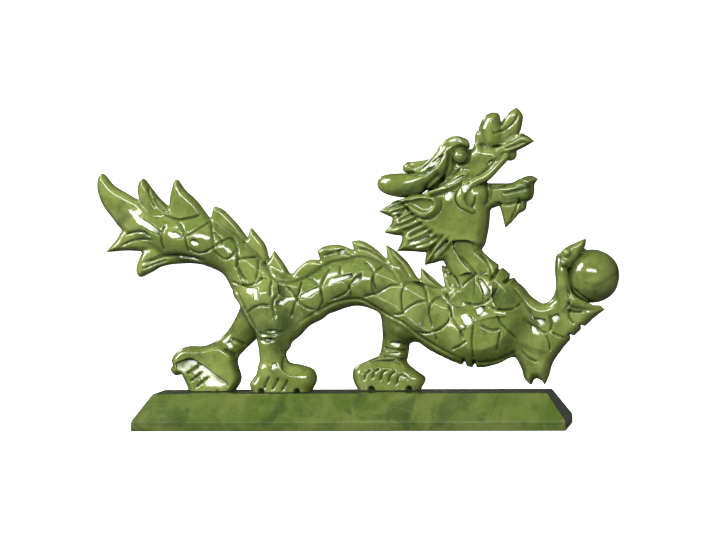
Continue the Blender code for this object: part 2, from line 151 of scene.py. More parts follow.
FINS = [
    [(-147, 170), (-146, 176), (-144, 184, SHARP), (-136, 181), (-126, 171), (-118, 162), (-112, 151)],
    [(-111, 151), (-109, 157), (-107, 162.5, SHARP), (-100, 154), (-93, 144), (-91, 130)],
    [(-89, 130), (-84, 139.5, SHARP), (-77, 129), (-70, 118), (-66, 113)],
    [(-67, 112), (-60, 122), (-52, 128), (-44, 130), (-34, 127)],
    [(-37, 129), (-40, 139.5, SHARP), (-33, 143), (-22, 144.5), (-11, 142), (0, 135)],
    [(-3, 136), (-5.5, 148, SHARP), (3, 148.5), (14, 143), (24, 134), (31, 124)],
    [(30, 126), (29, 143.5, SHARP), (38, 137), (49, 127), (57, 113), (62, 104)],
    [(63, 104), (63, 121, SHARP), (72, 113), (82, 104), (90, 96)],
    [(88, 98), (84, 123, SHARP), (92, 118), (99, 112), (104, 104)],
]
HAUNCH = [
    (-122, 100), (-114, 86), (-107, 71), (-101, 61), (-96, 45), (-71, 42), (-66, 49), (-57, 56), (-47, 66),
    (-33, 76), (-40, 98), (-80, 112),
]
BREAST = [(92, 96), (104, 106), (118, 112), (131, 100), (135, 78), (120, 58), (98, 58), (86, 78)]
CHEEK_PLATE = [
    (122, 140), (129, 152), (132, 175), (130, 195), (118, 208), (104, 220), (87, 212), (67, 195), (54, 178),
    (62, 160), (82, 145), (97, 136),
]
SNOUT = [
    (110, 239), (115, 239), (117, 243), (121, 246), (127, 242), (139, 240), (147, 231), (141, 219),
    (132, 208), (121, 202), (104, 195), (87, 200), (82, 220), (97, 240),
]
NOSE_LOBE = [
    (122, 255), (123, 263), (127.5, 270.5), (134, 274.5), (140.5, 274), (143, 270), (143.5, 263),
    (145.5, 254), (141, 241), (128, 239),
]
NOSE_TUFT = [(119.5, 243), (118, 250), (119.5, 256), (125, 256), (128, 244)]
NOSE_LEAF_TOP = [
    (143, 263, SHARP), (150, 273), (159, 279.5, SHARP), (165, 272), (164.5, 263), (161, 253), (147, 244),
    (134, 242), (134, 254),
]
NOSE_LEAF_LOW = [
    (134, 238), (147, 246), (161, 253.5), (169, 252), (177, 245.5, SHARP), (165, 239), (151, 233),
    (139, 231),
]
JAW = [
    (112, 199), (122, 205), (134, 205), (152, 205), (161, 208.5), (172, 212), (180, 208.5, SHARP),
    (175, 201), (174, 190), (166, 185.5), (150, 184), (137, 181), (124, 176), (112, 184),
]
BEARD_BACK = [(141, 191), (143, 178), (147, 160, SHARP), (154, 166), (160, 173), (164, 179), (161, 191)]
BEARD_FRONT = [(152, 195), (158, 176), (167, 178), (169, 186), (174, 189), (176, 198), (173, 205), (159, 205)]
EAR = [(42, 189, SHARP), (54, 177), (66, 170.5), (78, 175), (83, 184), (79, 193), (67, 195), (54, 193)]
EAR_HOLLOW = [(50, 187, SHARP), (60, 180), (69, 176), (77, 180), (79, 186), (74, 190), (62, 190)]
MANE = [
    [(42, 189), (30, 183), (22, 178, SHARP), (34, 173), (46, 170), (67, 172), (70, 190)],
    [(40, 175), (34, 165), (27, 157, SHARP), (42, 154), (57, 156), (74, 165), (66, 182)],
    [(47, 158), (44, 147), (40, 139, SHARP), (56, 138.5), (70, 138), (86, 150), (84, 168), (62, 170)],
    [(72, 142), (68, 133), (67, 124.5, SHARP), (78, 127.5), (90, 132), (104, 142), (99, 160), (82, 157)],
]
THROAT = [(97, 150), (96, 136), (104, 131), (113, 134), (122, 139), (124, 152), (110, 158)]
FORELIMB = [
    (149, 109), (157, 106), (165, 101.5), (172, 93), (183, 86), (192, 90), (196.5, 101), (195.5, 118),
    (197.5, 133), (204, 133), (208, 120), (210, 102), (220, 90), (232, 84), (245, 80, SHARP), (234, 71),
    (224, 62), (221, 60, SHARP), (217, 56), (212, 51, SHARP), (203, 41), (193, 27), (189, 15), (185, 5.5),
    (182, 9), (177, 11.5), (174, 10), (171, 5.5), (164.5, 12), (161.5, 22), (156, 32), (147, 39), (137, 60),
]
NEAR_HIND_FOOT = [
    (-97, 28), (-101, 18), (-108, 9), (-106, 1), (-98, -8), (-54, -8), (-45, 2), (-40.5, 12), (-44, 22),
    (-56, 27), (-68, 29), (-80, 34),
]
FAR_HIND_FOOT = [
    (-159, 44.5), (-172, 44.5), (-183, 41), (-190.5, 32), (-190, 25.5, SHARP), (-192.5, 21), (-187.5, 15),
    (-181, 16, SHARP), (-176, 6), (-168, -8), (-138, -8), (-127, 0), (-120.5, 12), (-124, 26), (-127, 38),
    (-141, 47),
]
FAR_FORE_FOOT = [
    (17, 33), (4, 28), (-6, 22), (-8, 13), (-4, 2), (5, -8), (54, -8), (61, 2), (65, 11.5), (57, 18.5),
    (47, 26), (34, 34),
]

# The flat sawn on the far hind foot: its outline and a point (x, y, z) that it goes through
FAR_FOOT_FLAT = [
    (-185, 28, SHARP), (-179, 31), (-169, 33.5), (-164, 31), (-148, 20), (-133, 9), (-133, 5), (-145, 4),
    (-155, 6), (-162, 14), (-172, 18.5), (-183, 20.5, SHARP),
]
FAR_FOOT_POINT = (-160.0, -1.5, 20.0)

# How far a fin's outline goes on below its foot, into the ridge
FIN_ROOT_DEPTH = 14.0

# Toes: (knuckle x, z, y), (tip x, z, y), radius at the knuckle and at the tip
TOES = [
    ((-74, 18, -19), (-53, 12, -19), 10.5, 11.0),
    ((-86, 17, -19), (-96, 7, -20), 8.0, 7.5),
    ((4, 14, 5), (5, 7, 4), 8.0, 7.5),
    ((54, 10, 4), (55, 8, 4), 8.0, 8.0),
]


# Lines carved in both faces, drawn as they are seen on the near one
LONG_LINES = [
    [(-145, 170), (-136, 162), (-128, 157), (-118, 149), (-108, 140), (-100, 132), (-92, 122), (-86, 114),
     (-78, 109), (-68, 108), (-58, 111), (-48, 116), (-38, 122), (-28, 127), (-13, 130), (2, 132),
     (14, 129), (22, 126), (30, 121), (36, 115), (41, 107), (43, 103)],
    [(-61, 67), (-53, 72), (-38, 81), (-23, 88), (-8, 91), (4, 90), (14, 84), (27, 76), (33, 73), (45, 67),
     (57, 57), (67, 50), (82, 41), (97, 33), (104, 29)],
    [(114, 29), (122, 28), (132, 29), (142, 32), (152, 37), (157, 40)],
    [(-122, 100), (-115, 87), (-108, 72), (-103, 62)],
    [(43, 105), (52, 107), (60, 105), (70, 102), (80, 99), (88, 92), (93, 82)],
]
SCALE_LINES = [
    [(101, 132), (108, 125), (115, 117), (118, 111)],
    [(-122, 144), (-121, 139), (-120.5, 131), (-122, 123)],
    [(-121, 131), (-112, 132.5), (-102, 133)],
    [(-120.5, 124), (-116, 115), (-111, 110)],
    [(-101, 131), (-100.5, 120), (-102, 114), (-102.5, 108)],
    [(-102, 107), (-99, 110), (-96, 112), (-90, 112)],
    [(-85.5, 111), (-86.5, 102), (-86, 94)],
    [(-79, 97), (-83.5, 90), (-84, 83), (-81.5, 73)],
    [(-111, 78), (-106, 81.5), (-99.5, 85), (-93.5, 86.5), (-86, 85.5)],
    [(-127, 109), (-118, 106), (-108, 105.5), (-103, 108)],
    [(-56.5, 110), (-59, 97), (-60.5, 93), (-59, 88)],
    [(-73, 105), (-66, 99), (-61, 92), (-63, 86), (-67, 73)],
    [(-53, 113), (-47, 110.5), (-41, 105.5), (-37.5, 99.5), (-35.5, 93), (-36, 87), (-40, 80)],
    [(-29, 122), (-34, 112), (-37, 102), (-36.5, 94)],
    [(-59, 89), (-52, 84), (-42, 80)],
    [(-19, 126), (-18, 117), (-15, 111), (-10, 105.5), (-8, 100), (-7.5, 93)],
    [(6, 118), (-1, 113), (-7, 105.5), (-11.5, 98), (-19.5, 93.5), (-28, 90)],
    [(25, 124), (18, 118), (15, 111.5), (16, 105), (18.5, 99)],
    [(6, 127), (12, 122.5), (16, 117)],
    [(43, 104), (33, 104.5), (26.5, 101), (19, 97), (9.5, 94.5), (3, 92)],
    [(48, 106), (44, 99), (43, 93), (43.5, 85), (44, 77)],
    [(54, 107), (60, 105.5), (65, 101), (68, 94), (69, 87), (71, 81)],
    [(33, 76), (39, 75.5), (44, 77), (48, 81), (54, 85), (61, 88), (69, 88.5)],
    [(82, 92), (77, 91), (73, 87), (70.5, 81), (70.5, 75), (72, 70), (74, 63)],
    [(80, 93), (86, 88), (91, 81), (92.5, 75), (89, 68), (83, 63), (76, 59), (67, 57), (57, 58.5)],
    [(76, 59), (78, 50)],
    [(89, 86), (93, 74), (97, 67), (102, 59), (106, 51)],
    [(108, 50), (102, 45.5), (93, 41)],
    [(115, 70), (114, 60), (113, 50), (113.5, 38), (114, 29)],
    [(141, 59), (139, 49), (137, 39)],
    [(122, 65), (128, 61.5), (134, 60), (141, 61)],
    [(138, 74), (142, 66), (149, 59), (156, 51)],
    [(130, 83), (138, 80), (147, 79.5), (156, 82), (162, 87)],
    [(104, 87), (110, 85.5), (117, 84.5), (125, 86.5), (131, 91), (136, 98), (138, 104)],
    [(118, 112), (126, 113), (136, 111)],
    [(121, 134), (126, 128), (131, 120), (133, 113)],
    [(103, 103), (108, 108), (113, 112), (116, 115)],
    [(117, 111), (122, 104), (125, 94), (124, 87)],
    [(-193, 166), (-196, 159), (-197, 150), (-194, 140)],
    [(-180, 169), (-175, 161), (-172, 152), (-171, 144), (-169, 137)],
    [(-149, 169), (-146, 159), (-144.5, 150), (-145, 142)],
    [(-172, 154), (-163, 159), (-153, 166), (-149, 169)],
    [(-170, 143), (-161, 138), (-152, 139), (-145, 143), (-137, 148)],
    [(-145, 141), (-140, 136), (-134, 131)],
    [(-137, 148), (-129, 152), (-122, 146)],
    [(-145, 158), (-138, 152), (-136, 147)],
    [(-134, 131), (-128, 133), (-122, 140)],
    [(-196, 176), (-188, 173), (-180, 171), (-168, 173), (-158, 175)],
]
FLUTES = [
    [(51, 187), (40, 183), (28, 178)],
    [(52, 182), (43, 178), (32, 176)],
    [(53, 179), (45, 176), (38, 172)],
    [(56, 175), (47, 171), (40, 167)],
    [(60, 171), (49, 166), (38, 162), (32, 159)],
    [(65, 166), (53, 161), (43, 158)],
    [(70, 161), (60, 157), (50, 152)],
    [(75, 158), (63, 151), (49, 146)],
    [(80, 153), (68, 146), (53, 142)],
    [(86, 154), (79, 147), (73, 140), (69, 133)],
    [(91, 151), (83, 143), (76, 135), (71, 128)],
    [(95, 147), (88, 139), (80, 132)],
    [(-217, 128), (-208, 131), (-196, 135), (-183, 136), (-168, 134), (-155, 130)],
    [(91, 237), (91, 225), (88, 215), (83, 205)],
    [(97, 232), (95, 223), (92, 214), (87, 206)],
    [(82, 214), (75, 208), (69, 202), (66, 197)],
    [(47, 215), (56, 214.5), (66, 213.5), (73, 218), (80, 224), (85, 232)],
    [(85, 118), (88, 110), (92, 102)],
    [(89, 116), (93, 108), (97, 100)],
]
FINE_LINES = [
    [(-212, 203), (-209, 193), (-204, 183)],
    [(-206, 192), (-200, 184), (-193, 178)],
    [(-240, 145), (-230, 150), (-218, 152), (-206, 151)],
    [(151, 168), (156, 178), (160, 190)],
    [(-236, 156), (-228, 159), (-216, 159), (-208, 154)],
    [(-218, 122), (-206, 127), (-193, 131)],
    [(-35, 134), (-26, 137), (-17, 137), (-8, 133)],
    [(-1, 141), (8, 139), (18, 134), (26, 128)],
    [(31, 138), (36, 130), (42, 122), (50, 112)],
    [(65, 116), (72, 109), (82, 102)],
    [(94, 114), (98, 106), (101, 98)],
    [(88, 213), (82, 206), (76, 200)],
    [(46, 226), (52, 223), (56, 219)],
    [(95, 239), (92, 232), (94, 225), (100, 220)],
    [(104, 220), (95, 212), (88, 205), (78, 200), (66, 196)],
    [(105, 207), (99, 200), (90, 196), (79, 193), (69, 191)],
    [(139, 230), (131, 220), (122, 213), (112, 207), (103, 201), (98, 194), (98, 187), (102, 181),
     (109, 177)],
    [(133, 257), (136, 253), (141, 255), (148, 258), (155, 264), (160, 273)],
    [(134, 240), (142, 241), (152, 245), (162, 250), (172, 251)],
    [(146, 238), (156, 241), (167, 245)],
    [(132, 199), (140, 200), (147, 202)],
    [(145, 194), (154, 196), (164, 198), (170, 200)],
    [(161, 206), (167, 202), (172, 196)],
    [(136, 185), (145, 183), (154, 184), (164, 186)],
    [(126, 204), (128.5, 196), (128, 187), (125, 182)],
    [(131, 203), (132, 195), (130, 187)],
    [(117, 191), (116, 185), (113, 180)],
    [(42, 188), (48, 181), (55, 174), (63, 170), (72, 170), (79, 174), (83, 181), (83, 188), (79, 193)],
    [(153, 101), (162, 89), (169, 79), (173, 72)],
    [(166, 68), (172, 64), (180, 58.5), (187, 56)],
    [(191, 57), (198, 53.5), (204, 51)],
    [(189, 73), (191, 66), (189, 58)],
    [(205, 79), (213, 77), (222, 77)],
    [(207, 100), (209.5, 92), (208, 85), (204, 79)],
    [(213, 100), (219, 94), (226, 89), (234, 83)],
    [(209, 79), (208, 72), (213, 65)],
    [(185, 55), (188, 48), (189, 38)],
    [(160, 40), (168, 32), (177, 28)],
]

# The middle plane of the far feet
FAR_FEET = 11.0

# Folds over the feet
NEAR_LEG_LINES = [
    [(-100, 59), (-92, 57), (-84, 57), (-72, 61)],
    [(-97, 52), (-90, 50), (-82, 52)],
]
FAR_LEG_LINES = [
    [(22, 41.5), (33, 39.5), (46, 38)],
    [(20, 33), (33, 31), (46, 28)],
    [(-138, 41), (-131, 37), (-126, 33)],
    [(-131, 51), (-124, 48), (-118, 45)],
]

# Slits between the toes and notches under the soles: lines, each with the middle plane of its foot
TOE_LINES = [
    ([(-88, 15), (-91, 10), (-94, 3)], 0.0),
    ([(-79, 14), (-82, 8), (-86, 2)], 0.0),
    ([(-70, 12), (-73, 6), (-76, 1)], 0.0),
    ([(9, 20), (5, 16), (3, 10)], FAR_FEET),
    ([(18, 21), (13, 17), (11, 11)], FAR_FEET),
    ([(26, 20), (21, 16), (19, 9)], FAR_FEET),
    ([(34, 18.5), (29, 14), (27, 7)], FAR_FEET),
    ([(42, 16), (37, 12), (35, 5)], FAR_FEET),
    ([(-176, 17), (-169, 21), (-164, 25)], FAR_FEET),
    ([(-172, 9), (-167, 13), (-161, 17.5)], FAR_FEET),
    ([(-166, 3), (-161, 8), (-154, 13)], FAR_FEET),
]
NOTCHES = [
    ([(-97, 0), (-97, -4)], 0.0),
    ([(-61, 0), (-61, -4)], 0.0),
    ([(10, 0.5), (10, -4)], FAR_FEET),
    ([(47.5, 0.5), (47.5, -4)], FAR_FEET),
]

# Nicks in the edges, which go right round, and the groove round the eye
EDGE_NICKS = [
    [(102.5, 20), (103.5, 31)],
    [(113, 18), (113.5, 29)],
    [(144, 127), (138.5, 120), (136, 115), (132, 110)],
    [(153, 115), (148, 109), (145, 107)],
    [(213, 48), (208, 54)],
    [(225, 56), (219, 63)],
]
EYE_RING = [
    (94.5, 232), (97, 238.5), (103, 240.5), (109, 237.5), (111, 231), (108, 225), (102, 223.5),
    (96.5, 226.5),
]

# Grooves by kind: their lines, half the width, the depth and the share of it on the far face
GROOVES = (
    (LONG_LINES, 2.4, 2.1, 0.8),
    (SCALE_LINES, 1.7, 2.3, 0.7),
    (FLUTES, 2.7, 2.9, 0.7),
    (FINE_LINES, 1.7, 2.2, 0.6),
)

# Small flats left by the grinding wheel, as seen on the near face
FLATS = [
    [(-234, 185), (-228, 182), (-218, 174), (-208, 168), (-197, 160),
     (-198, 156), (-208, 160), (-220, 167), (-229, 175)],
    [(-192, 160), (-182, 159), (-175, 155), (-176, 152), (-186, 153), (-192, 156)],
    [(-168, 151), (-163, 152), (-159, 148), (-160, 145), (-167, 146)],
    [(-106, 102), (-101, 103), (-99, 97), (-100, 91), (-104, 91)],
    [(-82, 89), (-73, 93), (-63, 94), (-64, 89), (-73, 86), (-81, 85)],
    [(-58, 95), (-54, 98), (-40, 104), (-39, 100), (-52, 92), (-58, 92)],
    [(-33, 109), (-28, 111), (-6, 117), (-5, 113), (-17, 109), (-31, 104)],
    [(-7, 106), (-4, 111), (3, 116), (4, 112), (-3, 105)],
    [(118, 111), (122, 110), (131, 98), (130, 93), (125, 93)],
    [(117, 82), (122, 84), (126, 84), (125, 79), (119, 73), (116, 76)],
    [(98, 80), (105, 81), (108, 75), (113, 72), (113, 66), (106, 63), (101, 72)],
    [(173, 72), (185, 70), (185, 65), (180, 64)],
    [(191, 73), (197, 76), (199, 72), (194, 66), (189, 64)],
    [(170, 65), (174, 62), (179, 57), (177, 54), (171, 57)],
    [(205, 97), (209, 94), (211, 86), (207, 86)],
    [(-96, 60), (-90, 62), (-81, 62), (-83, 58), (-93, 57)],
    [(-94, 54), (-86, 54), (-89, 49), (-92, 48)],
    [(-135, 47), (-130, 50), (-126, 44), (-130, 40)],
    [(31, 48), (42, 49), (42, 42), (31, 41)],
    [(28, 38), (41, 38), (41, 33), (28, 33)],
    [(37, 17), (47, 14), (49, 10), (40, 12)],
    [(-88, 28), (-83, 29), (-82, 23), (-88, 22)],
    [(138, 243), (142, 246), (159, 253), (161, 251), (158, 247), (142, 239)],
    [(86, 193), (92, 197), (97, 197), (94, 191), (88, 185)],
    [(-21, 140), (-13, 141), (-11, 137), (-19, 134)],
    [(44, 143), (57, 148), (71, 154), (72, 151), (58, 145), (45, 141)],
    [(70, 129), (80, 140), (88, 149), (91, 148), (83, 138), (73, 128)],
    [(83, 232), (87, 233), (78, 224), (70, 219), (68, 221), (76, 227)],
    [(103, 200), (108, 204), (112, 206), (111, 202), (107, 195), (104, 195)],
    [(104, 213), (107, 211), (94, 203), (82, 197), (67, 193), (66, 195), (82, 200), (94, 207)],
    [(127, 220), (131, 226), (135, 228), (133, 223), (128, 218)],
]
# Broad faces between the lines, planed before the lines are carved
PLANES = [
    [(16, 120), (42, 126), (66, 114), (82, 98), (90, 78), (82, 60), (60, 64), (36, 84), (14, 98)],
    [(89, 98), (100, 113), (114, 116), (116, 100), (112, 87), (97, 82)],
    [(100, 58), (122, 70), (148, 72), (162, 56), (150, 32), (124, 26), (106, 38)],
    [(136, 112), (148, 106), (160, 92), (154, 80), (138, 82), (132, 94)],
    [(-122, 134), (-104, 134), (-96, 122), (-98, 106), (-112, 104), (-120, 118)],
    [(-80, 109), (-68, 112), (-58, 104), (-64, 95), (-77, 95)],
    [(94, 146), (110, 148), (124, 136), (130, 122), (120, 114), (104, 126)],
]
# Faces down the front of two feet
BEVELS = [
    [(-76, 34), (-66, 33), (-46, 30), (-41, 14), (-49, 12), (-62, 13), (-72, 18), (-78, 24)],
    [(2, 23), (18, 30), (35, 29), (47, 21), (55, 12), (50, 9), (38, 17), (30, 22), (16, 21), (5, 16)],
]

# How deep each kind is ground at its middle, and how it faces
FLAT_DEPTH = 0.85
FLAT_NORMAL = (0.085, -0.969, 0.232)
PLANE_DEPTH = 2.2
PLANE_NORMAL = (0.0, -0.999, 0.04)
BEVEL_DEPTH = 1.3
BEVEL_NORMAL = (0.0, -0.88, 0.475)

# The middle of the carving, in metres, where the camera and the lamps are aimed
TARGET = Vector((0.0026, 0.0, 0.0611))

# The sockets of a mix node: its two numbers, its two colours and the colour that it gives
NUMBER_A, NUMBER_B = 2, 3
COLOUR_A, COLOUR_B = 6, 7
COLOUR_OUT = 2


def smoothstep(share):
    """Rises smoothly from 0 to 1 as the share does, and stays level outside."""
    share = np.clip(share, 0.0, 1.0)
    return share * share * (3.0 - 2.0 * share)


def spline(points, closed=False, samples=6):
    """Points along a smooth line through the given ones. A point with an extra SHARP flag is a corner."""
    width = 2 if closed or len(points[0]) < 4 else 4
    corners = [len(p) > width and bool(p[width]) for p in points]
    places = np.array([p[:width] for p in points], float)
    count = len(points)
    line = []
    for i in range(count if closed else count - 1):
        j = (i + 1) % count
        before = places[i - 1] if (closed or i) and not corners[i] else 2 * places[i] - places[j]
        after = 2 * places[j] - places[i]
        if (closed or j < count - 1) and not corners[j]:
            after = places[(j + 1) % count]
        start, end = places[i], places[j]
        for t in np.linspace(0.0, 1.0, samples, endpoint=False):
            bend = (2 * before - 5 * start + 4 * end - after) * t**2
            twist = (3 * start - before - 3 * end + after) * t**3
            line.append(0.5 * (2 * start + (end - before) * t + bend + twist))
    if not closed:
        line.append(places[-1])
    return np.array(line)


def line_distance(x, z, line):
    """Distance from points of the XZ plane to a line, and how far along the line each one is, from 0 to 1."""
    best = np.full(np.broadcast(x, z).shape, np.inf, np.float32)
    share = np.zeros_like(best)
    lengths = np.hypot(*np.diff(line, axis=0).T)
    whole = lengths.sum()
    done = 0.0
    for start, end, length in zip(line[:-1], line[1:], lengths):
        run = end - start
        t = ((x - start[0]) * run[0] + (z - start[1]) * run[1]) / max(length * length, 1e-6)
        t = np.clip(t, 0.0, 1.0)
        gap = np.hypot(x - start[0] - t * run[0], z - start[1] - t * run[1])
        closer = gap < best
        best = np.where(closer, gap, best)
        share = np.where(closer, (done + t * length) / whole, share)
        done += length
    return best, share


def ring_distance(x, z, ring):
    """Signed distance to a closed outline in the XZ plane, below 0 inside."""
    closed = np.vstack([ring, ring[:1]])
    gap, _ = line_distance(x, z, closed)
    inside = np.zeros(gap.shape, bool)
    for (ax, az), (bx, bz) in zip(closed[:-1], closed[1:]):
        if az != bz:
            crosses = (az > z) != (bz > z)
            inside ^= crosses & (x < (bx - ax) * (z - az) / (bz - az) + ax)
    return np.where(inside, -gap, gap)


class Block:
    """A block of stone as a distance field on the carver's grid. Below 0 is stone."""

    def __init__(self, cell):
        self.cell = cell
        self.axes = [np.arange(low, high, cell, dtype=np.float32) for low, high in zip(BLOCK_LOW, BLOCK_HIGH)]
        self.field = np.full([len(axis) for axis in self.axes], FAR, np.float32)

    def window(self, low, high):
        """The slices of the grid inside a box (x, y, z), with its coordinates."""
        spans = tuple(slice(*np.searchsorted(axis, (a, b))) for axis, a, b in zip(self.axes, low, high))
        x, y, z = (axis[span] for axis, span in zip(self.axes, spans))
        return spans, x[:, None, None], y[None, :, None], z[None, None, :]

    def join(self, spans, distance, blend):
        """Adds a form, filleting it into the stone over the blend's width."""
        old = self.field[spans]
        mix = np.maximum(blend - abs(old - distance), 0.0)
        self.field[spans] = np.minimum(old, distance) - mix * mix / (4.0 * blend)

    def remove(self, spans, distance, blend):
        """Cuts a form away, rounding its rim over the blend's width."""
        old = self.field[spans]
        mix = np.maximum(blend - abs(old + distance), 0.0)
        self.field[spans] = np.maximum(old, -distance) + mix * mix / (4.0 * blend)

    def tube(self, stations, blend=2.0, samples=5):
        """A round limb through its stations (x, z, y, radius)."""
        line = spline(stations, samples=samples)
        whole = np.full_like(self.field, 3.0 * FAR)
        reach = line[:, 3].max() + blend + MARGIN
        for start, end in zip(line[:-1], line[1:]):
            a, b = start[[0, 2, 1]], end[[0, 2, 1]]
            spans, x, y, z = self.window(np.minimum(a, b) - reach, np.maximum(a, b) + reach)
            run = b - a
            x, y, z = x - a[0], y - a[1], z - a[2]
            t = np.clip((x * run[0] + y * run[1] + z * run[2]) / (run @ run), 0.0, 1.0)
            gap = np.sqrt((x - t * run[0]) ** 2 + (y - t * run[1]) ** 2 + (z - t * run[2]) ** 2)
            whole[spans] = np.minimum(whole[spans], gap - start[3] - t * (end[3] - start[3]))
        low = line[:, [0, 2, 1]].min(axis=0) - reach
        high = line[:, [0, 2, 1]].max(axis=0) + reach
        spans, *_ = self.window(low, high)
        self.join(spans, whole[spans], blend)

    def ball(self, x, z, y, radius, blend=1.5):
        """A ball, filleted into the stone."""
        reach = radius + blend + MARGIN
        spans, gx, gy, gz = self.window((x - reach, y - reach, z - reach), (x + reach, y + reach, z + reach))
        self.join(spans, np.sqrt((gx - x) ** 2 + (gy - y) ** 2 + (gz - z) ** 2) - radius, blend)

    def pillow(self, outline, middle, half, edge):
        """The distance to a form sawn to an outline, domed towards its edge like a pillow."""
        ring = spline(outline, closed=True)
        low, high = ring.min(axis=0), ring.max(axis=0)
        reach = 8.0
        spans, x, y, z = self.window(
            (low[0] - reach, middle - half - reach, low[1] - reach),
            (high[0] + reach, middle + half + reach, high[1] + reach),
        )
        flat = ring_distance(x[:, 0, :], z[:, 0, :], ring)[:, None, :]
        u = np.maximum((flat + edge) / edge, 0.0)
        v = abs(y - middle) / half
        size = np.sqrt(u * u + v * v)
        slope = np.sqrt((u / edge) ** 2 + (v / half) ** 2)
        tiny = 0.02
        return spans, (size - 1.0) * (size + tiny) / (slope + tiny / min(edge, half))

    def slab(self, outline, middle, half, edge, blend=2.0, grow=0.0):
        """Adds a sawn form, which can be grown a little all round."""
        spans, distance = self.pillow(outline, middle, half, edge)
        self.join(spans, distance - grow, blend)

    def hollow(self, outline, middle, half, edge, blend=1.0):
        """Cuts a hollow shaped like a sawn form."""
        self.remove(*self.pillow(outline, middle, half, edge), blend)

    def cut(self, line, half_width, depth, far_share=1.0, ends=0.15, closed=False, crisp=False, middle=0.0):
        """A rounded V along a line drawn in the XZ plane, running out at its ends.

        The line is drawn as it's seen on the near face, and is repeated on the far face. A limb that
        doesn't lie on the middle plane has its own middle, and with None the line goes right round. The
        cut reaches its depth within a few steps of the middle, and keeps a least share of it at its ends."""
        turn = 4.0
        least = 0.25
        drawn = spline(line, closed=closed)
        if closed:
            drawn = np.vstack([drawn, drawn[:1]])
        for side, share, shift in ((-1, 1.0, NEAR_FACE_SHIFT), (1, far_share, (0.0, 0.0))):
            if share == 0.0 or (middle is None and side > 0):
                continue
            path = drawn + np.array(shift)
            low, high = path.min(axis=0) - half_width, path.max(axis=0) + half_width
            spans, x, y, z = self.window((low[0], BLOCK_LOW[1], low[1]), (high[0], BLOCK_HIGH[1], high[1]))
            gap, along = line_distance(x[:, 0, :], z[:, 0, :], path)
            profile = np.clip(1.0 - gap / half_width, 0.0, 1.0)
            if not crisp:
                profile *= profile * (3.0 - 2.0 * profile)
            if ends > 0.0:
                profile *= np.clip(np.minimum(along, 1.0 - along) / ends + least, 0.0, 1.0)
            weight = 1.0 if middle is None else smoothstep(side * (y - middle) / turn)
            self.field[spans] += depth * share * profile[:, None, :] * weight

    def saw(self, outline, point, normal):
        """Saws a flat on the near face: what lies before a plane and inside an outline comes off."""
        reach = 12.0
        ring = spline(outline, closed=True)
        low, high = ring.min(axis=0), ring.max(axis=0)
        spans, x, y, z = self.window((low[0], BLOCK_LOW[1], low[1]), (high[0], point[1] + reach, high[1]))
        before = (x - point[0]) * normal[0] + (y - point[1]) * normal[1] + (z - point[2]) * normal[2]
        inside = -ring_distance(x[:, 0, :], z[:, 0, :], ring)[:, None, :]
        self.field[spans] = np.maximum(self.field[spans], np.minimum(before, inside))

    def grind(self, outline, depth, normal, corners=(SHARP,)):
        """Grinds a flat inside an outline drawn as it's seen, to a depth below the stone at its middle."""
        ring = np.array(outline, float)
        centre = ring.mean(axis=0)
        column = self.field[
            np.searchsorted(self.axes[0], centre[0]), :, np.searchsorted(self.axes[2], centre[1])
        ]
        front = float(self.axes[1][np.argmax(column < 0.0)])
        shift = (-SEEN_RIGHT * front, -SEEN_UP * front)
        point = (centre[0] + shift[0], front + depth, centre[1] + shift[1])
        self.saw([tuple(p + shift) + corners for p in ring], point, normal)

    def level_soles(self, depth):
        """Cuts off the stone that lies more than a depth below the soles."""
        self.field = np.maximum(self.field, -(self.axes[2] + depth))

    def weather(self, depth):
        """The slow waves that hand polishing leaves in a surface."""
        x, y, z = self.axes[0][:, None, None], self.axes[1][None, :, None], self.axes[2][None, None, :]
        wave = np.sin(x / 6.1 + z / 9.7) * np.sin(z / 7.3 - x / 11.9 + y / 8.0)
        wave = wave + np.sin(x / 13.0 - z / 5.9 + y / 9.0)
        self.field += (depth * 0.5) * wave.astype(np.float32)

    def sample(self, points):
        """The field at points on the grid, read between its cells."""
        low = np.array([axis[0] for axis in self.axes])
        place = (points - low) / self.cell
        cell = np.clip(np.floor(place).astype(int), 0, np.array(self.field.shape) - 2)
        part = place - cell
        total = np.zeros(len(points))
        for corner in np.ndindex(2, 2, 2):
            weight = np.prod(np.where(corner, part, 1.0 - part), axis=1)
            total += weight * self.field[tuple((cell + corner).T)]
        return total

    def hollowness(self, points, reach=3):
        """How far the surface lies in a hollow at some points: above 0 in a groove, below 0 on an edge."""
        near = np.clip(self.field, -reach * self.cell, reach * self.cell)
        for axis in range(3):
            margin = [(reach + 1, reach) if i == axis else (0, 0) for i in range(3)]
            total = np.cumsum(np.pad(near, margin, "edge"), axis=axis)
            count = near.shape[axis]
            near = (np.take(total, range(2 * reach + 1, 2 * reach + 1 + count), axis=axis)
                    - np.take(total, range(count), axis=axis)) / (2 * reach + 1)
        whole, self.field = self.field, near
        found = self.sample(points)
        self.field = whole
        return -found / self.cell

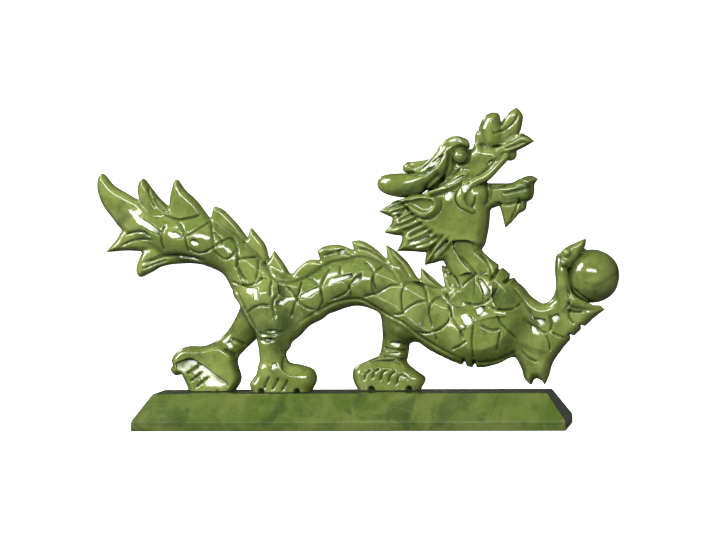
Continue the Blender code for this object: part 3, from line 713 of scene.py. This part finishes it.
    def skin(self):
        """Points and four-sided faces over the surface of the stone."""
        stone = self.field < 0.0
        shape = np.array(self.field.shape)
        count = np.zeros(shape - 1, np.int8)
        for corner in np.ndindex(2, 2, 2):
            count += stone[tuple(slice(c, n - 1 + c) for c, n in zip(corner, shape))]
        mixed = (count > 0) & (count < 8)
        cells = np.argwhere(mixed)
        numbers = np.full(mixed.shape, -1, np.int64)
        numbers[mixed] = np.arange(len(cells))
        total, hits = np.zeros((len(cells), 3)), np.zeros(len(cells))
        for axis in range(3):
            step = np.eye(3, dtype=int)[axis]
            for corner in np.ndindex(2, 2, 2):
                if corner[axis]:
                    continue
                start = cells + corner
                a, b = self.field[tuple(start.T)], self.field[tuple((start + step).T)]
                crosses = (a < 0.0) != (b < 0.0)
                share = np.where(crosses, a / np.where(crosses, a - b, 1.0), 0.0)
                total += crosses[:, None] * (np.array(corner) + share[:, None] * step)
                hits += crosses
        low = np.array([axis[0] for axis in self.axes])
        points = low + (cells + total / hits[:, None]) * self.cell
        faces = []
        for axis in range(3):
            u, v = (axis + 1) % 3, (axis + 2) % 3
            lower = [slice(1, n - 1) for n in shape]
            upper = list(lower)
            lower[axis], upper[axis] = slice(0, shape[axis] - 1), slice(1, shape[axis])
            first, second = stone[tuple(lower)], stone[tuple(upper)]
            for leaving in (True, False):
                found = np.argwhere((first != second) & (first == leaving))
                found[:, u] += 1
                found[:, v] += 1
                ring = []
                for du, dv in ((0, 0), (-1, 0), (-1, -1), (0, -1)):
                    corner = found.copy()
                    corner[:, u] += du
                    corner[:, v] += dv
                    ring.append(numbers[tuple(corner.T)])
                faces.append(np.stack(ring if leaving else ring[::-1], axis=1))
        return self.settle(points), np.concatenate(faces)

    def settle(self, points):
        """Moves points onto the surface along its slope."""
        reach = 0.5 * self.cell
        furthest = 0.6 * self.cell
        flattest = 0.15
        for _ in range(2):
            slope = np.stack([
                (self.sample(points + offset) - self.sample(points - offset)) / (2.0 * reach)
                for offset in reach * np.eye(3)
            ], axis=1)
            steep = np.maximum((slope**2).sum(axis=1), flattest)
            move = -self.sample(points)[:, None] * slope / steep[:, None]
            points = points + np.clip(move, -furthest, furthest)
        return points


def seen(stations):
    """Moves stations drawn as they are seen to where they lie, by their depth in the slab."""
    return [(x - SEEN_RIGHT * y, z - SEEN_UP * y, y, radius) for x, z, y, radius in stations]


def mirrored(stations):
    """The same stations on the other side of the slab."""
    return [(x, z, -y, radius) for x, z, y, radius in stations]


def rough_out(block):
    """The body, the legs, the fins and the tail."""
    block.tube(SPINE)
    for leg in (NEAR_HIND_LEG, FAR_HIND_LEG, FAR_FORE_LEG):
        block.tube(leg, blend=9.0)
    block.slab(HAUNCH, -8.0, 15.0, 10.0, blend=6.0)
    block.slab(BREAST, 0.0, 20.0, 13.0, blend=8.0)
    block.slab(FORELIMB, -3.0, 15.0, 9.0, blend=6.0)
    for spike, half in zip(TAIL_SPIKES, (10.0, 10.0, 10.0, 9.0, 9.0)):
        block.slab(spike, 0.0, half, 6.0, blend=3.0, grow=0.9)
    for fin in FINS:
        block.slab(fin_outline(fin), 0.0, 7.0, 4.0, blend=3.0, grow=0.8)


def fin_outline(points):
    """A back fin's outline, with its foot sunk in the ridge."""
    rear, front = points[0], points[-1]
    run = Vector((front[0] - rear[0], front[1] - rear[1])).normalized()
    down = Vector((run.y, -run.x)) * FIN_ROOT_DEPTH
    return points + [(front[0] + down.x, front[1] + down.y), (rear[0] + down.x, rear[1] + down.y)]


def shape_feet(block):
    """The feet with their toes, and the flat that is sawn on the far hind foot."""
    block.slab(NEAR_HIND_FOOT, -15.0, 14.0, 10.0, blend=5.0)
    block.slab(FAR_HIND_FOOT, FAR_FEET, 16.0, 7.0, blend=4.0)
    block.slab(FAR_FORE_FOOT, FAR_FEET, 14.0, 10.0, blend=5.0)
    for (ax, az, ay), (bx, bz, by), root, tip in TOES:
        block.tube([(ax, az, ay, root), (bx, bz, by, tip)], blend=2.5, samples=2)
    block.saw(FAR_FOOT_FLAT, FAR_FOOT_POINT, FLAT_NORMAL)


def shape_pearl(block):
    """The pearl and the claws that hold it."""
    block.ball(*PEARL, blend=1.2)
    for claw in (THUMB, UNDER_CLAW, FAR_CLAW):
        block.tube(claw, blend=1.6)
    for knuckle in KNUCKLES:
        block.ball(*knuckle, blend=1.5)
    block.slab(CURL, -14.0, 8.0, 5.0, blend=1.2)
    block.slab(CURL, 10.0, 7.0, 5.0, blend=1.2)


def shape_head(block):
    """The head, its horns, mane, ears, jaws and nose."""
    for lock, half in zip(MANE, (13.0, 14.0, 15.0, 16.0)):
        block.slab(lock, 0.0, half, 8.0, blend=2.0, grow=0.6)
    block.slab(THROAT, 0.0, 15.0, 8.0, blend=4.0)
    block.slab(CHEEK_PLATE, 0.0, 19.0, 11.0, blend=3.0)
    block.slab(SNOUT, 0.0, 16.0, 9.0, blend=3.0)
    for side in (seen, mirrored):
        block.tube(side(HORN), blend=2.5)
        block.tube(side(CREST), blend=1.5)
        block.tube(side(CHEEK_RIDGE), blend=2.0)
    block.slab(JAW, 0.0, 12.0, 7.0, blend=2.5)
    block.slab(BEARD_BACK, -3.0, 8.0, 5.0, blend=1.5)
    block.slab(BEARD_FRONT, 1.0, 9.0, 5.0, blend=1.5)
    block.slab(NOSE_LOBE, -1.0, 13.0, 11.0, blend=2.0)
    block.slab(NOSE_TUFT, 0.0, 9.0, 4.0, blend=1.5)
    block.slab(NOSE_LEAF_TOP, 2.0, 9.0, 6.0, blend=1.5)
    block.slab(NOSE_LEAF_LOW, -3.0, 9.5, 5.0, blend=1.5)
    block.ball(*NOSTRIL, blend=2.0)
    x, z, y, radius = CHEEK
    for side in (-1, 1):
        block.ball(x, z, -side * y, radius, blend=2.0)
        block.slab(EAR, side * 17.0, 6.0, 5.0, blend=1.5)
        block.hollow(EAR_HOLLOW, side * 23.5, 5.0, 4.0)


def finish_head(block):
    """The eyes, brows and lips, which stand proud of what is cut round them."""
    for side in (seen, mirrored):
        block.tube(side(LIP), blend=1.2)
        block.tube(side(BROW), blend=1.5)
    x, z, y, radius = EYE
    block.ball(x, z, y, radius, blend=0.6)
    block.ball(x - FAR_EYE_SHIFT, z, -y, radius, blend=0.6)


def carve_lines(block):
    """The grooves, the folds over the feet, the slits of the toes, the notches and the nicks."""
    for lines, half_width, depth, far_share in GROOVES:
        for line in lines:
            block.cut(line, half_width, depth, far_share=far_share, crisp=True)
    for line in NEAR_LEG_LINES:
        block.cut(line, 2.8, 1.8, far_share=0.8)
    for line in FAR_LEG_LINES:
        block.cut(line, 2.8, 2.4, far_share=0.8, middle=FAR_FEET)
    for line, middle in TOE_LINES:
        block.cut(line, 1.9, 2.4, far_share=0.8, middle=middle, crisp=True)
    for line, middle in NOTCHES:
        block.cut(line, 4.4, 8.0, ends=0.0, middle=middle)
    for line in EDGE_NICKS:
        block.cut(line, 2.8, 4.0, ends=0.0, middle=None)
    block.cut(EYE_RING, 2.8, 4.2, far_share=0.8, ends=0.0, closed=True, crisp=True)


def stone_mesh(name, block, budget):
    """The carved block as a smooth mesh in metres, with at most a budget of triangles."""
    points, faces = block.skin()
    places = points * GRID + np.array([FORWARD, 0.0, SOLE_HEIGHT])
    margin = 0.00002
    places = np.clip(places, np.array(DRAGON_LOW) + margin, np.array(DRAGON_HIGH) - margin)
    places[:, 2] = np.maximum(places[:, 2], SOLE_HEIGHT)
    mesh = bpy.data.meshes.new(name)
    mesh.vertices.add(len(places))
    mesh.vertices.foreach_set("co", places.ravel())
    mesh.loops.add(len(faces) * 4)
    mesh.loops.foreach_set("vertex_index", faces.ravel())
    mesh.polygons.add(len(faces))
    mesh.polygons.foreach_set("loop_start", np.arange(len(faces)) * 4)
    mesh.update(calc_edges=True)
    mesh.validate()
    obj = bpy.data.objects.new(name, mesh)
    bpy.context.scene.collection.objects.link(obj)
    thin = obj.modifiers.new("facets", "DECIMATE")
    thin.ratio = min(1.0, budget / (2.0 * len(faces)))
    thin.use_collapse_triangulate = True
    mesh.shade_smooth()
    crisp = obj.modifiers.new("crisp flats", "WEIGHTED_NORMAL")
    crisp.mode = "FACE_AREA_WITH_ANGLE"
    crisp.weight = 80
    apply_modifiers(obj)
    places = np.empty(len(obj.data.vertices) * 3)
    obj.data.vertices.foreach_get("co", places)
    # How far each point lies in a groove, kept on the mesh for the shade that the jade material paints into
    # the grooves
    hollow = block.hollowness((places.reshape(-1, 3) - (FORWARD, 0.0, SOLE_HEIGHT)) / GRID)
    obj.data.attributes.new("hollow", "FLOAT", "POINT").data.foreach_set("value", hollow.astype(np.float32))
    return obj


def apply_modifiers(obj):
    """Replaces the object's mesh with the one that its modifiers give."""
    bpy.context.view_layer.update()
    graph = bpy.context.evaluated_depsgraph_get()
    mesh = bpy.data.meshes.new_from_object(obj.evaluated_get(graph))
    old = obj.data
    obj.modifiers.clear()
    obj.data = mesh
    mesh.name = obj.name
    bpy.data.meshes.remove(old)


def new_group(name, sockets_in, sockets_out):
    """An empty shader node group with its sockets, and its input and output nodes."""
    tree = bpy.data.node_groups.new(name, "ShaderNodeTree")
    for socket, kind, value in sockets_in:
        made = tree.interface.new_socket(name=socket, in_out="INPUT", socket_type=kind)
        made.default_value = value
    for socket, kind in sockets_out:
        tree.interface.new_socket(name=socket, in_out="OUTPUT", socket_type=kind)
    return tree, tree.nodes.new("NodeGroupInput"), tree.nodes.new("NodeGroupOutput")


def noise(tree, place, scale, detail, roughness=0.5, distortion=0.0):
    """Cloudy noise at a place, from 0 to 1."""
    node = tree.nodes.new("ShaderNodeTexNoise")
    node.inputs["Scale"].default_value = scale
    node.inputs["Detail"].default_value = detail
    node.inputs["Roughness"].default_value = roughness
    node.inputs["Distortion"].default_value = distortion
    tree.links.new(place, node.inputs["Vector"])
    return node.outputs["Fac"]


def span(tree, value, low, high, to_low=0.0, to_high=1.0):
    """Maps a value's range onto another, smoothly."""
    node = tree.nodes.new("ShaderNodeMapRange")
    node.interpolation_type = "SMOOTHSTEP"
    node.inputs["From Min"].default_value = low
    node.inputs["From Max"].default_value = high
    node.inputs["To Min"].default_value = to_low
    node.inputs["To Max"].default_value = to_high
    tree.links.new(value, node.inputs["Value"])
    return node.outputs["Result"]


def blend_colour(tree, share, first, second, strength=1.0):
    """Mixes two colours, each a socket or a constant, by a share that a strength can weaken."""
    if strength != 1.0:
        weaker = tree.nodes.new("ShaderNodeMath")
        weaker.operation = "MULTIPLY"
        weaker.inputs[1].default_value = strength
        tree.links.new(share, weaker.inputs[0])
        share = weaker.outputs[0]
    mix = tree.nodes.new("ShaderNodeMix")
    mix.data_type = "RGBA"
    tree.links.new(share, mix.inputs["Factor"])
    for socket, colour in ((mix.inputs[COLOUR_A], first), (mix.inputs[COLOUR_B], second)):
        if isinstance(colour, bpy.types.NodeSocket):
            tree.links.new(colour, socket)
        else:
            socket.default_value = colour
    return mix.outputs[COLOUR_OUT]


def jade_clouds():
    """The clouds, veins and specks inside the stone."""
    tree, given, made = new_group(
        "jade clouds",
        [("Body", "NodeSocketColor", (0.16, 0.25, 0.05, 1)), ("Pale", "NodeSocketColor", (0.3, 0.4, 0.12, 1)),
         ("Deep", "NodeSocketColor", (0.07, 0.13, 0.03, 1))],
        [("Color", "NodeSocketColor"), ("Cloud", "NodeSocketFloat"), ("Normal", "NodeSocketVector")],
    )
    place = tree.nodes.new("ShaderNodeTexCoord").outputs["Object"]
    broad = span(tree, noise(tree, place, 48.0, 3.0, 0.55, 0.6), 0.42, 0.62)
    small = span(tree, noise(tree, place, 150.0, 4.0, 0.6, 0.8), 0.45, 0.68)
    deep = span(tree, noise(tree, place, 65.0, 3.0, 0.55, 1.0), 0.52, 0.68)
    grain = noise(tree, place, 900.0, 2.0)
    veins = tree.nodes.new("ShaderNodeMath")
    veins.operation = "ABSOLUTE"
    centred = tree.nodes.new("ShaderNodeMath")
    centred.operation = "SUBTRACT"
    centred.inputs[1].default_value = 0.5
    tree.links.new(noise(tree, place, 21.0, 5.0, 0.6, 0.5), centred.inputs[0])
    tree.links.new(centred.outputs[0], veins.inputs[0])
    vein = span(tree, veins.outputs[0], 0.0, 0.018, 1.0, 0.0)
    colour = blend_colour(tree, broad, given.outputs["Body"], given.outputs["Pale"], 0.6)
    colour = blend_colour(tree, small, colour, given.outputs["Pale"], 0.35)
    grains = span(tree, noise(tree, place, 420.0, 3.0, 0.6), 0.5, 0.75)
    colour = blend_colour(tree, grains, colour, given.outputs["Deep"], 0.35)
    colour = blend_colour(tree, deep, colour, given.outputs["Deep"], 0.6)
    colour = blend_colour(tree, vein, colour, given.outputs["Pale"], 0.25)
    bump = tree.nodes.new("ShaderNodeBump")
    bump.inputs["Strength"].default_value = 0.02
    bump.inputs["Distance"].default_value = 0.0002
    tree.links.new(grain, bump.inputs["Height"])
    tree.links.new(colour, made.inputs["Color"])
    tree.links.new(broad, made.inputs["Cloud"])
    tree.links.new(bump.outputs["Normal"], made.inputs["Normal"])
    return tree


def jade(name, body, pale, deep, roughness, glow):
    """Polished jade: clouded, waxy and a little translucent, with shade painted into its grooves and round
    its outline.
    """
    stone = bpy.data.materials.new(name)
    stone.use_nodes = True
    tree = stone.node_tree
    shader = tree.nodes["Principled BSDF"]
    clouds = tree.nodes.new("ShaderNodeGroup")
    clouds.node_tree = bpy.data.node_groups.get("jade clouds") or jade_clouds()
    for socket, colour in (("Body", body), ("Pale", pale), ("Deep", deep)):
        clouds.inputs[socket].default_value = (*colour, 1.0)
    # Painted shade in the grooves: where the mesh's hollow attribute says a point lies in a groove, the
    # colour darkens towards the deep green, standing in for the shade that falls there. The sharp edges are
    # paled a little.
    hollow = tree.nodes.new("ShaderNodeAttribute")
    hollow.attribute_name = "hollow"
    groove = span(tree, hollow.outputs["Fac"], 0.3, 1.2)
    edge = span(tree, hollow.outputs["Fac"], -0.35, -0.9)
    colour = blend_colour(tree, groove, clouds.outputs["Color"], (*(0.8 * Vector(deep)), 1.0), 0.75)
    colour = blend_colour(tree, edge, colour, (*pale, 1.0), 0.25)
    # Painted shade round the outline: the colour darkens towards a very deep green where the surface turns
    # away from the view.
    rim = tree.nodes.new("ShaderNodeLayerWeight")
    rim.inputs["Blend"].default_value = 0.36
    colour = blend_colour(tree, rim.outputs["Facing"], colour, (*(0.4 * Vector(deep)), 1.0), 0.85)
    tree.links.new(colour, shader.inputs["Base Color"])
    tree.links.new(clouds.outputs["Normal"], shader.inputs["Normal"])
    # The grooves are rougher, and their reflections are dimmed by a lower specular level as painted shade.
    tree.links.new(span(tree, groove, 0.0, 1.0, roughness, 0.35), shader.inputs["Roughness"])
    tree.links.new(span(tree, groove, 0.0, 1.0, 0.6, 0.1), shader.inputs["Specular IOR Level"])
    shader.inputs["IOR"].default_value = 1.62
    shader.inputs["Subsurface Weight"].default_value = glow
    shader.inputs["Subsurface Radius"].default_value = (0.7, 1.0, 0.25)
    shader.inputs["Subsurface Scale"].default_value = 0.0022
    return stone


class JadeDragonSettings(PropertyGroup):
    """Sizes and colours of the carved dragon."""

    cell: FloatProperty(
        name="Cell", description="Grid steps between samples of the block", default=0.8, min=0.5, max=4.0,
    )
    polish_waves: FloatProperty(
        name="Polish Waves", description="Depth of the slow waves in the polish, in grid steps",
        default=0.35, min=0.0, max=2.0,
    )
    body: FloatVectorProperty(
        name="Body", description="The jade's own green", subtype="COLOR", default=(0.128, 0.173, 0.03),
        min=0.0, max=1.0,
    )
    pale: FloatVectorProperty(
        name="Pale Clouds", description="The yellower green of the clouds", subtype="COLOR",
        default=(0.258, 0.308, 0.082), min=0.0, max=1.0,
    )
    deep: FloatVectorProperty(
        name="Deep Clouds", description="The deep green of the dark clouds", subtype="COLOR",
        default=(0.036, 0.064, 0.018), min=0.0, max=1.0,
    )
    roughness: FloatProperty(
        name="Roughness", description="How dull the polish is", subtype="FACTOR",
        default=0.13, min=0.0, max=1.0,
    )


class JadeBaseSettings(PropertyGroup):
    """Colours of the plinth."""

    body: FloatVectorProperty(
        name="Body", description="The plinth's own green", subtype="COLOR", default=(0.067, 0.105, 0.014),
        min=0.0, max=1.0,
    )
    pale: FloatVectorProperty(
        name="Pale Clouds", description="The green of the plinth's clouds and veins", subtype="COLOR",
        default=(0.134, 0.167, 0.036), min=0.0, max=1.0,
    )
    deep: FloatVectorProperty(
        name="Deep Clouds", description="The plinth's deep green", subtype="COLOR",
        default=(0.024, 0.046, 0.012), min=0.0, max=1.0,
    )
    roughness: FloatProperty(
        name="Roughness", description="How dull the plinth's polish is", subtype="FACTOR",
        default=0.16, min=0.0, max=1.0,
    )


class JadeStageSettings(PropertyGroup):
    """The camera and the lamps."""

    distance: FloatProperty(
        name="Distance", description="From the camera to the middle of the carving", subtype="DISTANCE",
        unit="LENGTH", default=1.3, min=0.3,
    )
    azimuth: FloatProperty(
        name="Azimuth", description="How far right the camera stands", subtype="ANGLE", unit="ROTATION",
        default=math.radians(7.3),
    )
    elevation: FloatProperty(
        name="Elevation", description="How far the camera looks down", subtype="ANGLE", unit="ROTATION",
        default=math.radians(1.67),
    )
    roll: FloatProperty(
        name="Roll", description="How far the picture is turned", subtype="ANGLE", unit="ROTATION",
        default=math.radians(-0.65),
    )
    lens: FloatProperty(
        name="Lens", description="The camera's focal length in millimetres", default=168.5, min=20.0,
    )
    key: FloatProperty(
        name="Left Lamp", description="Power of the soft lamp at the left", subtype="POWER", unit="POWER",
        default=11.5, min=0.0,
    )
    front: FloatProperty(
        name="Front Lamp", description="Power of the lamp over the camera", subtype="POWER", unit="POWER",
        default=8.2, min=0.0,
    )
    back: FloatProperty(
        name="Back Lamp", description="Power of the lamp behind the carving", subtype="POWER", unit="POWER",
        default=12.0, min=0.0,
    )
    fill: FloatProperty(
        name="Fill", description="Brightness of the room", default=0.85, min=0.0,
    )


def settings_of(name):
    """One of the add-on's groups of settings, as the scene keeps it."""
    return getattr(bpy.context.scene, name)


class JADE_OT_carve_dragon(Operator):
    """Carve the dragon from its block and put it in place of the plain solid"""

    bl_idname = "jade.carve_dragon"
    bl_label = "Carve Dragon"

    def execute(self, context):
        chosen = settings_of("jade_dragon")
        block = Block(chosen.cell)
        rough_out(block)
        shape_feet(block)
        shape_head(block)
        shape_pearl(block)
        for outline in PLANES:
            block.grind(outline, PLANE_DEPTH, PLANE_NORMAL, corners=())
        for outline in BEVELS:
            block.grind(outline, BEVEL_DEPTH, BEVEL_NORMAL, corners=())
        carve_lines(block)
        finish_head(block)
        block.weather(chosen.polish_waves)
        for outline in FLATS:
            block.grind(outline, FLAT_DEPTH, FLAT_NORMAL)
        block.level_soles(GLUE_DEPTH)
        dragon = stone_mesh("carved_dragon", block, TRIANGLES)
        if len(dragon.data.polygons) < FEWEST_TRIANGLES:
            raise RuntimeError("The block holds no dragon.")
        dragon.data.materials.append(
            jade("dragon jade", chosen.body, chosen.pale, chosen.deep, chosen.roughness, glow=0.4)
        )
        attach(dragon, "root")
        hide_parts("dragon")
        return {"FINISHED"}


class JADE_OT_polish_base(Operator):
    """Give the plinth its polished jade"""

    bl_idname = "jade.polish_base"
    bl_label = "Polish Plinth"

    def execute(self, context):
        chosen = settings_of("jade_base")
        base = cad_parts["base"]
        base.data.materials.clear()
        base.data.materials.append(
            jade("base jade", chosen.body, chosen.pale, chosen.deep, chosen.roughness, glow=0.3)
        )
        return {"FINISHED"}


def towards(azimuth, elevation):
    """The direction with an azimuth, from the front to the right, and an elevation, in radians."""
    level = math.cos(elevation)
    return Vector((math.sin(azimuth) * level, -math.cos(azimuth) * level, math.sin(elevation)))


def lamp(name, azimuth, elevation, distance, size, power, glossy=True):
    """A rectangular soft lamp aimed at the carving, placed by its direction in degrees and its distance."""
    light = bpy.data.lights.new(name, "AREA")
    light.shape = "RECTANGLE"
    light.size, light.size_y = size
    light.energy = power
    obj = bpy.data.objects.new(name, light)
    obj.location = TARGET + distance * towards(math.radians(azimuth), math.radians(elevation))
    obj.rotation_euler = (TARGET - obj.location).to_track_quat("-Z", "Y").to_euler()
    obj.visible_glossy = glossy
    bpy.context.scene.collection.objects.link(obj)


def sweep():
    """The pale floor, which turns up into a backdrop."""
    front, back, bend, top, side = -3.0, 1.0, 0.8, 3.0, 3.5
    turns = np.linspace(0.1, math.pi / 2, 12)
    profile = [(front, 0.0), (back, 0.0)]
    profile += [(back + bend * math.sin(t), bend - bend * math.cos(t)) for t in turns]
    profile.append((back + bend, top))
    work = bmesh.new()
    rows = [[work.verts.new((x, y, z)) for x in (-side, side)] for y, z in profile]
    for (a, b), (c, d) in zip(rows[:-1], rows[1:]):
        work.faces.new((a, b, d, c))
    mesh = bpy.data.meshes.new("backdrop")
    work.to_mesh(mesh)
    work.free()
    mesh.shade_smooth()
    obj = bpy.data.objects.new("backdrop", mesh)
    bpy.context.scene.collection.objects.link(obj)
    return obj


def backdrop_paper():
    """White paper for the camera, dark in what it throws back at the stone."""
    paper = bpy.data.materials.new("paper")
    paper.use_nodes = True
    tree = paper.node_tree
    shader = tree.nodes["Principled BSDF"]
    shader.inputs["Roughness"].default_value = 0.9
    shader.inputs["Specular IOR Level"].default_value = 0.1
    path = tree.nodes.new("ShaderNodeLightPath")
    colour = tree.nodes.new("ShaderNodeMix")
    colour.data_type = "RGBA"
    colour.inputs[COLOUR_A].default_value = (0.05, 0.05, 0.05, 1)
    colour.inputs[COLOUR_B].default_value = (0.85, 0.85, 0.84, 1)
    tree.links.new(path.outputs["Is Camera Ray"], colour.inputs["Factor"])
    tree.links.new(colour.outputs[COLOUR_OUT], shader.inputs["Base Color"])
    shader.inputs["Emission Color"].default_value = (1, 1, 1, 1)
    lit = tree.nodes.new("ShaderNodeMath")
    lit.operation = "MULTIPLY"
    lit.inputs[1].default_value = 0.7
    tree.links.new(path.outputs["Is Camera Ray"], lit.inputs[0])
    tree.links.new(lit.outputs[0], shader.inputs["Emission Strength"])
    return paper


def room(brightness):
    """The room's light: white for the camera, of a set brightness on the stone, dark in reflections."""
    in_reflections = 0.1
    world = bpy.data.worlds.new("studio")
    world.use_nodes = True
    tree = world.node_tree
    background = tree.nodes["Background"]
    background.inputs["Color"].default_value = (1, 1, 1, 1)
    path = tree.nodes.new("ShaderNodeLightPath")
    strength = tree.nodes.new("ShaderNodeMix")
    strength.inputs[NUMBER_A].default_value = brightness
    strength.inputs[NUMBER_B].default_value = brightness * in_reflections
    tree.links.new(path.outputs["Is Glossy Ray"], strength.inputs["Factor"])
    seen_white = tree.nodes.new("ShaderNodeMix")
    seen_white.inputs[NUMBER_B].default_value = 1.0
    tree.links.new(path.outputs["Is Camera Ray"], seen_white.inputs["Factor"])
    tree.links.new(strength.outputs[0], seen_white.inputs[NUMBER_A])
    tree.links.new(seen_white.outputs[0], background.inputs["Strength"])
    bpy.context.scene.world = world


class JADE_OT_set_stage(Operator):
    """Set the floor, the lamps and the camera"""

    bl_idname = "jade.set_stage"
    bl_label = "Set Stage"

    def execute(self, context):
        chosen = settings_of("jade_stage")
        scene = context.scene
        floor = sweep()
        floor.data.materials.append(backdrop_paper())
        room(chosen.fill)
        lamp("left lamp", -62.0, 36.0, 0.9, (0.45, 0.6), chosen.key)
        lamp("front lamp", 3.0, 25.0, 1.1, (0.74, 0.25), chosen.front)
        lamp("back lamp", 196.0, 38.0, 1.3, (1.2, 0.4), chosen.back, glossy=False)
        lamp("back glint", 222.0, 30.0, 1.3, (0.5, 0.16), 0.2 * chosen.back)
        camera_data = bpy.data.cameras.new("camera")
        camera_data.sensor_width = 36.0
        camera_data.lens = chosen.lens
        camera_data.clip_end = 20.0
        camera = bpy.data.objects.new("camera", camera_data)
        away = towards(chosen.azimuth, chosen.elevation)
        camera.location = TARGET + away * chosen.distance
        turn = (-away).to_track_quat("-Z", "Y").to_matrix() @ Matrix.Rotation(chosen.roll, 3, "Z")
        camera.rotation_euler = turn.to_euler()
        scene.collection.objects.link(camera)
        scene.camera = camera
        scene.view_settings.view_transform = "Standard"
        return {"FINISHED"}


class JADE_PT_panel(Panel):
    """The carving's settings in the sidebar"""

    bl_label = "Jade Dragon"
    bl_idname = "JADE_PT_panel"
    bl_space_type = "VIEW_3D"
    bl_region_type = "UI"
    bl_category = "Jade"

    def draw(self, context):
        for operator, name in (
            (JADE_OT_carve_dragon, "jade_dragon"), (JADE_OT_polish_base, "jade_base"),
            (JADE_OT_set_stage, "jade_stage"),
        ):
            box = self.layout.box()
            box.operator(operator.bl_idname)
            group = getattr(context.scene, name)
            for key in group.__annotations__:
                box.prop(group, key)


CLASSES = (
    JadeDragonSettings, JadeBaseSettings, JadeStageSettings, JADE_OT_carve_dragon, JADE_OT_polish_base,
    JADE_OT_set_stage, JADE_PT_panel,
)


def register():
    for cls in CLASSES:
        bpy.utils.register_class(cls)
    bpy.types.Scene.jade_dragon = PointerProperty(type=JadeDragonSettings)
    bpy.types.Scene.jade_base = PointerProperty(type=JadeBaseSettings)
    bpy.types.Scene.jade_stage = PointerProperty(type=JadeStageSettings)


def unregister():
    del bpy.types.Scene.jade_stage
    del bpy.types.Scene.jade_base
    del bpy.types.Scene.jade_dragon
    for cls in reversed(CLASSES):
        bpy.utils.unregister_class(cls)


def main():
    register()
    bpy.ops.jade.carve_dragon()
    bpy.ops.jade.polish_base()
    bpy.ops.jade.set_stage()


if __name__ == "__main__":
    main()
